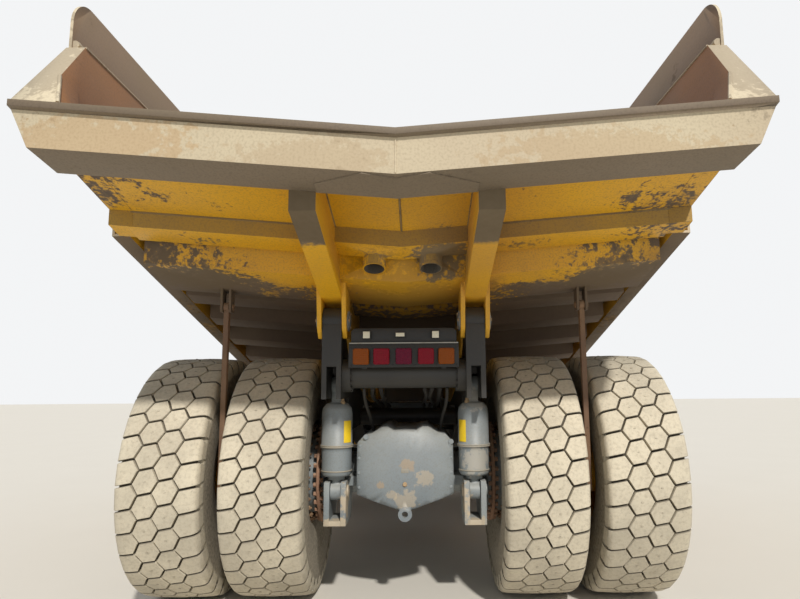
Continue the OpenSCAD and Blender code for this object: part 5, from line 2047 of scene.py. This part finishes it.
@dataclass
class CabDress:
    """Seat, wheel, levers, gaskets, wipers and handles of the cab."""
    shop: Workshop
    x0: float = 0.15
    x1: float = 1.65
    y0: float = -3.425
    y1: float = -1.825
    z0: float = 2.51
    z1: float = 3.99
    door: tuple[float, float, float, float] = (-3.005, -2.445, 2.60, 3.88)

    @property
    def middle(self) -> float:
        """The cab's middle across."""
        return (self.x0 + self.x1) / 2

    def front(self, z: float) -> float:
        """Where the sloping front stands at a height."""
        return self.y0 + 0.18 * (z - self.z0) / (self.z1 - self.z0)

    def pillow(self, name: str, low: Point, high: Point, face: int, crown: float, seams: Sequence[float],
               side: int = 1) -> Object:
        """A crowned pad whose sides pull in between its corners, with sewn channels.

        Args:
            name: the piece's name.
            low: its lowest corner.
            high: its highest corner.
            face: the axis that its crowned face looks along.
            crown: how far its face rises over its edge, as a share of its half thickness.
            seams: places of the channels across it, from -1 to 1.
            side: 1 or -1, the way its crowned face looks.

        Returns:
            The pad.
        """
        a, b = [(1, 2), (0, 2), (0, 1)][face]
        mid = [(low[i] + high[i]) / 2 for i in range(3)]
        half = [(high[i] - low[i]) / 2 for i in range(3)]
        count = 20
        verts: list[Point] = []
        for way in (1, -1):
            for i in range(count + 1):
                for j in range(count + 1):
                    u, v = -1 + 2 * i / count, -1 + 2 * j / count
                    edge = max((1 - u ** 6) * (1 - v ** 6), 0.0) ** 0.4
                    dip = sum(math.exp(-((u - s) / 0.05) ** 2) for s in seams) * 0.16 * edge
                    rise = 0.35 + 0.45 * edge
                    if way > 0:
                        rise = 0.35 + (0.65 - crown) * edge + crown * (1 - u * u) * (1 - v * v) - dip
                    place = [0.0, 0.0, 0.0]
                    place[a] = mid[a] + half[a] * u * (1 - 0.035 * (1 - v * v))
                    place[b] = mid[b] + half[b] * v * (1 - 0.035 * (1 - u * u))
                    place[face] = mid[face] + side * way * half[face] * rise
                    verts.append(tuple(place))
        size = (count + 1) ** 2
        faces: list[tuple[int, ...]] = []
        for i in range(count):
            for j in range(count):
                p = i * (count + 1) + j
                faces.append((p, p + count + 1, p + count + 2, p + 1))
                faces.append((size + p, size + p + 1, size + p + count + 2, size + p + count + 1))
        rim = [i * (count + 1) for i in range(count + 1)] + [
            count * (count + 1) + j for j in range(1, count + 1)]
        rim += [i * (count + 1) + count
                for i in range(count - 1, -1, -1)] + [j for j in range(count - 1, 0, -1)]
        for p, q in zip(rim, rim[1:] + rim[:1]):
            faces.append((p, q, size + q, size + p))
        piece = self.shop.piece(name, verts, faces, "seat_cloth")
        return piece

    def seat(self) -> tuple[Object, Object, Object]:
        """The seat's cushion, back and head rest.

        Returns:
            The three pieces.
        """
        x, y = self.middle, self.y0
        return (self.pillow("seat_cushion", (x - 0.235, y + 0.83, 2.86), (x + 0.235, y + 1.22, 3.00), 2, 0.3,
                            (-0.5, 0.5)),
                self.pillow("seat_back", (x - 0.225, y + 1.185, 3.0), (x + 0.225, y + 1.30, 3.52), 1, 0.3,
                            (-0.5, 0.5), -1),
                self.pillow("head_rest", (x - 0.12, y + 1.20, 3.53), (x + 0.12, y + 1.29, 3.66), 1, 0.3, (),
                            -1))

    def inside(self) -> Object:
        """Pedestal, pan and shell of the seat, the console with its dials, the levers and the side box.

        Returns:
            The piece.
        """
        shop, sx, y = self.shop, self.middle, self.y0
        half = (self.x1 - self.x0) / 2 - 0.25
        parts = []
        # Name; from and to across, along and up, from the cab's middle and front; finish and rounding
        for name, x0, x1, y0, y1, z0, z1, finish, width in (
                ("pedestal", -0.17, 0.17, 0.92, 1.24, 2.58, 2.80, "black_paint", 0.02),
                ("seat_pan", -0.22, 0.22, 0.86, 1.28, 2.80, 2.865, "black_paint", 0.012),
                ("back_shell", -0.19, 0.19, 1.27, 1.315, 2.90, 3.46, "black_paint", 0.015),
                ("console", -half, half, 0.155, 0.33, 2.58, 3.07, "cab_plastic", 0.02),
                ("side_box", 0.30, 0.47, 0.82, 1.18, 2.58, 2.88, "cab_plastic", 0.015)):
            parts.append(shop.block(name, (sx + x0, y + y0, z0), (sx + x1, y + y1, z1), finish, width))
        dash = ((0.16, 3.05), (0.40, 3.00), (0.36, 3.06), (0.20, 3.13))
        parts.append(shop.loft(
            "dash", [[(x, y + dy, z) for dy, z in dash] for x in (sx - half, sx + half)], "cab_plastic"))
        dial = [(0.0, 0.0), (0.0, 0.03), (0.006, 0.034), (0.010, 0.03), (0.008, 0.0)]
        for k, dx in enumerate((-0.2, -0.08, 0.08, 0.2)):
            odd = k % 2
            parts.append(shop.rolled(
                "dial", dial, (sx + dx, y + 0.352 + 0.014 * odd, 3.045),
                "lens_pale" if odd else "black_paint", 20, 1))
        knob = [(-0.024, 0.0), (-0.018, 0.016), (0.0, 0.024), (0.018, 0.016), (0.024, 0.0)]
        for dx, lean in ((0.36, 0.03), (0.42, -0.02)):
            x, tip = sx + dx, y + 0.93 + lean
            parts += [shop.tube("lever", [(x, y + 0.95, 2.86), (x, tip, 3.10)], 0.009, "plate_steel", 8),
                      shop.rolled("knob", knob, (x, tip, 3.115), "black_rubber", 16, 2)]
        return shop.joined("cab_interior", parts + self.steering())

    def steering(self) -> list[Object]:
        """The steering wheel's rim and spokes, and its column.

        Returns:
            The pieces.
        """
        shop, sx, y = self.shop, self.middle, self.y0
        hub = Vector((sx, y + 0.52, 3.16))
        tilt = Matrix.Rotation(math.radians(-28), 3, "X")
        rim_r, grip = 0.205, 0.014
        rings = []
        for k in range(40):
            a = 2 * math.pi * k / 40
            loop = []
            for m in range(8):
                b = 2 * math.pi * m / 8
                r, lift = rim_r + grip * math.cos(b), grip * math.sin(b)
                loop.append(tuple(hub + tilt @ Vector((r * math.cos(a), r * math.sin(a), lift))))
            rings.append(loop)
        parts = [shop.loft("wheel_rim", rings, "black_rubber", looped=True),
                 shop.tube("column", [tuple(hub + Vector((0, 0, 0.01))), (sx, y + 0.30, 2.80)], 0.032,
                           "black_paint", 16)]
        for turn in (90, 210, 330):
            a = math.radians(turn)
            end = hub + tilt @ Vector((rim_r * math.cos(a), rim_r * math.sin(a), 0))
            parts.append(shop.tube("spoke", [tuple(hub), tuple(end)], 0.011, "black_paint", 8))
        return parts

    def gaskets(self) -> Object:
        """Rubber round every window but the door's.

        Returns:
            The piece.
        """
        low, high, sill, base, top = (
            self.z0 + 0.52, self.z1 - 0.15, self.z0 + 0.56, self.z0 + 0.60, self.z1 - 0.13)
        x0, x1, y0, y1 = self.x0, self.x1, self.y0, self.y1
        loops = [[(x, self.front(z) + 0.002, z) for x, z in frame_of(x0 + 0.11, x1 - 0.11, low, top)],
                 [(x, y1 - 0.002, z) for x, z in frame_of(x0 + 0.2, x1 - 0.2, base, high)],
                 [(x0 + 0.002, y, z) for y, z in frame_of(y0 + 0.33, y1 - 0.2, sill, high)],
                 [(x1 - 0.002, y, z) for y, z in frame_of(self.door[1] + 0.11, y1 - 0.12, sill, high)]]
        return self.shop.joined(
            "window_gaskets",
            [self.shop.tube("gasket", path, 0.012, "black_rubber", 8, looped=True) for path in loops])

    def wipers(self) -> Object:
        """Two wipers, and the grab rail by the door.

        Returns:
            The piece.
        """
        shop, parts = self.shop, []
        z0, z1 = self.z0 + 0.50, self.z0 + 0.98
        hub = [(0.0, 0.0), (0.0, 0.022), (-0.02, 0.02), (-0.024, 0.0)]
        for x in (0.55, 1.15):
            arm = [(x, self.front(z0) - 0.012, z0), (x + 0.16, self.front(z1) - 0.016, z1)]
            blade = [(x + out, self.front(z) - 0.012, z) for out, z in ((0.02, z1 - 0.22), (0.30, z1 + 0.17))]
            parts += [shop.tube("wiper_arm", arm, 0.006, "black_paint", 8),
                      shop.tube("wiper_blade", blade, 0.008, "black_rubber", 8),
                      shop.rolled("wiper_hub", hub, (x, self.front(z0), z0), "black_paint", 16, 1)]
        rail = [(self.x1 + out, self.door[0] - 0.07, z)
                for out, z in ((0.001, 2.85), (0.055, 2.88), (0.055, 3.62), (0.001, 3.65))]
        parts.append(shop.tube("grab_rail", rail, 0.014, "black_paint", 12))
        return shop.joined("cab_trim", parts)

    def door_trim(self) -> Object:
        """Gasket, handle and lock of the door.

        Returns:
            The piece.
        """
        shop, x = self.shop, self.x1
        y0, y1, z0, z1 = self.door
        path = [(x - 0.004, y, z) for y, z in frame_of(y0 + 0.09, y1 - 0.09, z0 + 0.48, z1 - 0.08)]
        handle = [(x + 0.004, y0 + 0.065, z0 + 0.36), (x + 0.035, y0 + 0.065, z0 + 0.37),
                  (x + 0.035, y0 + 0.18, z0 + 0.37)]
        parts = [shop.tube("door_gasket", path, 0.011, "black_rubber", 8, looped=True),
                 shop.block("lock_plate", (x - 0.002, y0 + 0.03, z0 + 0.33),
                            (x + 0.006, y0 + 0.10, z0 + 0.45), "black_paint", 0.003),
                 shop.tube("door_handle", handle, 0.009, "plate_steel", 10)]
        return shop.joined("door_trim", parts)

    def dress(self) -> None:
        """The whole cab."""
        inside = (*self.seat(), self.inside())
        self.shop.hand_over("frame", *inside, self.gaskets(), self.wipers())
        for piece in inside:
            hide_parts("cab_seat")
        self.shop.hand_over("cab_door", self.door_trim())


@dataclass
class Studio:
    """The camera at the photograph's angle, the floor and the light."""
    behind_axle: float = 6.0045
    eye_x: float = -0.1401
    eye_z: float = 1.910
    yaw: float = -0.45
    pitch: float = 7.94
    roll: float = -0.47
    lens: float = 27.159
    shift: float = -0.0313
    sun_height: float = 39.0
    sun_turn: float = 14.0
    sun: float = 3.3
    sun_spread: float = 2.5
    sky: float = 0.52

    def camera(self, rear_axle_y: float) -> None:
        """Sets the camera behind the tail, low and looking slightly up.

        Args:
            rear_axle_y: where the rear axle is along the truck.
        """
        yaw, pitch, roll = (math.radians(a) for a in (self.yaw, self.pitch, self.roll))
        forward = Vector((math.sin(yaw) * math.cos(pitch), -math.cos(yaw) * math.cos(pitch), math.sin(pitch)))
        right = forward.cross(Vector((0, 0, 1))).normalized()
        up = right.cross(forward)
        turned = right * math.cos(roll) + up * math.sin(roll)
        upright = up * math.cos(roll) - right * math.sin(roll)
        data = bpy.data.cameras.new("camera")
        data.lens = self.lens
        data.sensor_width = 36.0
        data.shift_x = self.shift
        data.clip_end = 500.0
        camera = bpy.data.objects.new("camera", data)
        bpy.context.scene.collection.objects.link(camera)
        place = Matrix((turned, upright, -forward)).transposed().to_4x4()
        place.translation = Vector((self.eye_x, rear_axle_y + self.behind_axle, self.eye_z))
        camera.matrix_world = place
        bpy.context.scene.camera = camera

    def floor(self) -> None:
        """A wide pale floor."""
        half = 60.0
        mesh = bpy.data.meshes.new("floor")
        mesh.from_pydata(
            [(-half, -half, 0), (half, -half, 0), (half, half, 0), (-half, half, 0)], [], [(0, 1, 2, 3)])
        g = Graph("floor")
        cloud = g.noise(0.8, 4)
        mesh.materials.append(g.finish(g.mix(cloud * 0.4, "D9D5CC", "CFCAC0"), 0.9))
        floor = bpy.data.objects.new("floor", mesh)
        bpy.context.scene.collection.objects.link(floor)
        floor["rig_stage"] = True

    def light(self) -> None:
        """A pale sky and one key light from behind the camera."""
        world = bpy.data.worlds.new("studio")
        bpy.context.scene.world = world
        world.use_nodes = True
        nodes, links = world.node_tree.nodes, world.node_tree.links
        sky = nodes["Background"]
        sky.inputs[0].default_value = (0.90, 0.93, 0.97, 1.0)
        sky.inputs[1].default_value = self.sky
        seen = nodes.new("ShaderNodeBackground")
        seen.inputs[0].default_value = (0.90, 0.91, 0.92, 1.0)
        rays, blend = nodes.new("ShaderNodeLightPath").outputs, nodes.new("ShaderNodeMixShader")
        first, both = nodes.new("ShaderNodeMath"), nodes.new("ShaderNodeMath")
        first.operation = both.operation = "MAXIMUM"
        for start, end in (
                (rays["Is Camera Ray"], first.inputs[0]), (rays["Is Glossy Ray"], first.inputs[1]),
                (first.outputs[0], both.inputs[0]), (rays["Is Transmission Ray"], both.inputs[1]),
                (both.outputs[0], blend.inputs[0]), (sky.outputs[0], blend.inputs[1]),
                (seen.outputs[0], blend.inputs[2]),
                (blend.outputs[0], nodes["World Output"].inputs["Surface"])):
            links.new(start, end)
        key = bpy.data.lights.new("key", "SUN")
        key.energy = self.sun
        key.angle = math.radians(self.sun_spread)
        key.color = (1.0, 0.96, 0.90)
        lamp = bpy.data.objects.new("key", key)
        bpy.context.scene.collection.objects.link(lamp)
        height, turn = math.radians(self.sun_height), math.radians(self.sun_turn)
        towards = Vector(
            (-math.sin(turn) * math.cos(height), math.cos(turn) * math.cos(height), math.sin(height)))
        lamp.matrix_world = towards.to_track_quat("Z", "Y").to_matrix().to_4x4()
        bpy.context.scene.view_settings.view_transform = "Standard"

    def build(self, rear_axle_y: float) -> None:
        """Makes the whole studio.

        Args:
            rear_axle_y: where the rear axle is along the truck.
        """
        self.camera(rear_axle_y)
        self.floor()
        self.light()


def corners() -> list[list[float]]:
    """The whole object's box as plain numbers."""
    return [[float(v) for v in corner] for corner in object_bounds()]


def main() -> None:
    """Builds the truck's looks, sub-assembly by sub-assembly."""
    logging.basicConfig(level=logging.INFO, format="%(message)s")
    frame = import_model()
    spots = {joint["name"]: tuple(joint["pos_m"]) for joint in frame["joints"] if "pos_m" in joint}
    front, rear = spots["front_wheel_spin_left"], spots["rear_wheels_spin_left"]
    half_pair = 0.405
    axles = Axles(
        (0.0, *front[1:]), (0.0, *rear[1:]), abs(front[0]),
        (abs(rear[0]) - half_pair, abs(rear[0]) + half_pair))
    shop = Workshop(frame, Palette(axles.front, axles.rear))
    Studio().build(rear[1])
    tail_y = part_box("bed_floor")[1][1]

    # The struts' room in the rails
    slots = [((x - 0.040, 2.57, 1.70), (x + 0.040, 2.99, 2.055)) for x in (-0.595, 0.595)]
    shop.softened("frame_rails", "frame_black", slots=slots)
    for finish, nodes in (
            ("frame_black", ("frame_crossmembers",)), ("axle_grey", ("rear_axle_housing", "rear_struts")),
            ("yellow_paint", ("front_bumper", "deck", "cab_shell", "cab_door", "fuel_tank",
                              "hydraulic_tank")),
            ("tail_black", ("tail_lamp_bar",)), ("rusty_bar", ("rock_ejector_left", "rock_ejector_right"))):
        for node in nodes:
            shop.softened(node, finish)
    BedSkin(tail_y, rear[1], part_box("bed_side_left")[1][2]).dress(shop)
    for finish, nodes in (
            ("black_rubber", ("bed_pads",)),
            ("axle_grey",
             ("axle_a_frame", "axle_pin", "front_struts", "front_lower_arms", "drive_line", "tie_rod",
              "knuckle_left", "knuckle_right", "hoist_barrel_left", "hoist_barrel_right")),
            ("black_paint",
             ("engine_block", "radiator_grille", "front_ladders", "air_cleaners", "exhaust", "mirrors")),
            ("yellow_paint",
             ("handrails", "front_rim_left", "front_rim_right", "rear_rims_left", "rear_rims_right")),
            ("rod_chrome", ("hoist_stage_left", "hoist_stage_right", "hoist_rod_left", "hoist_rod_right")),
            ("cab_glass", ("cab_glass", "door_glass")), ("lens_pale", ("head_lamps",))):
        shop.paint(finish, *nodes)

    Wheels(shop).dress(axles)
    RimDress(shop).dress(axles)
    TailLamps(shop).dress()
    BedDress(shop, tail_y).dress(spots["bed_tilt"], spots["ejector_swing_left"])
    AxleDress(shop, axles.rear).dress()
    FrameDress(shop, rear[1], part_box("tail_lamps")[0][1]).dress()
    FrontDress(shop).dress()
    CabDress(shop).dress()


if __name__ == "__main__":
    main()
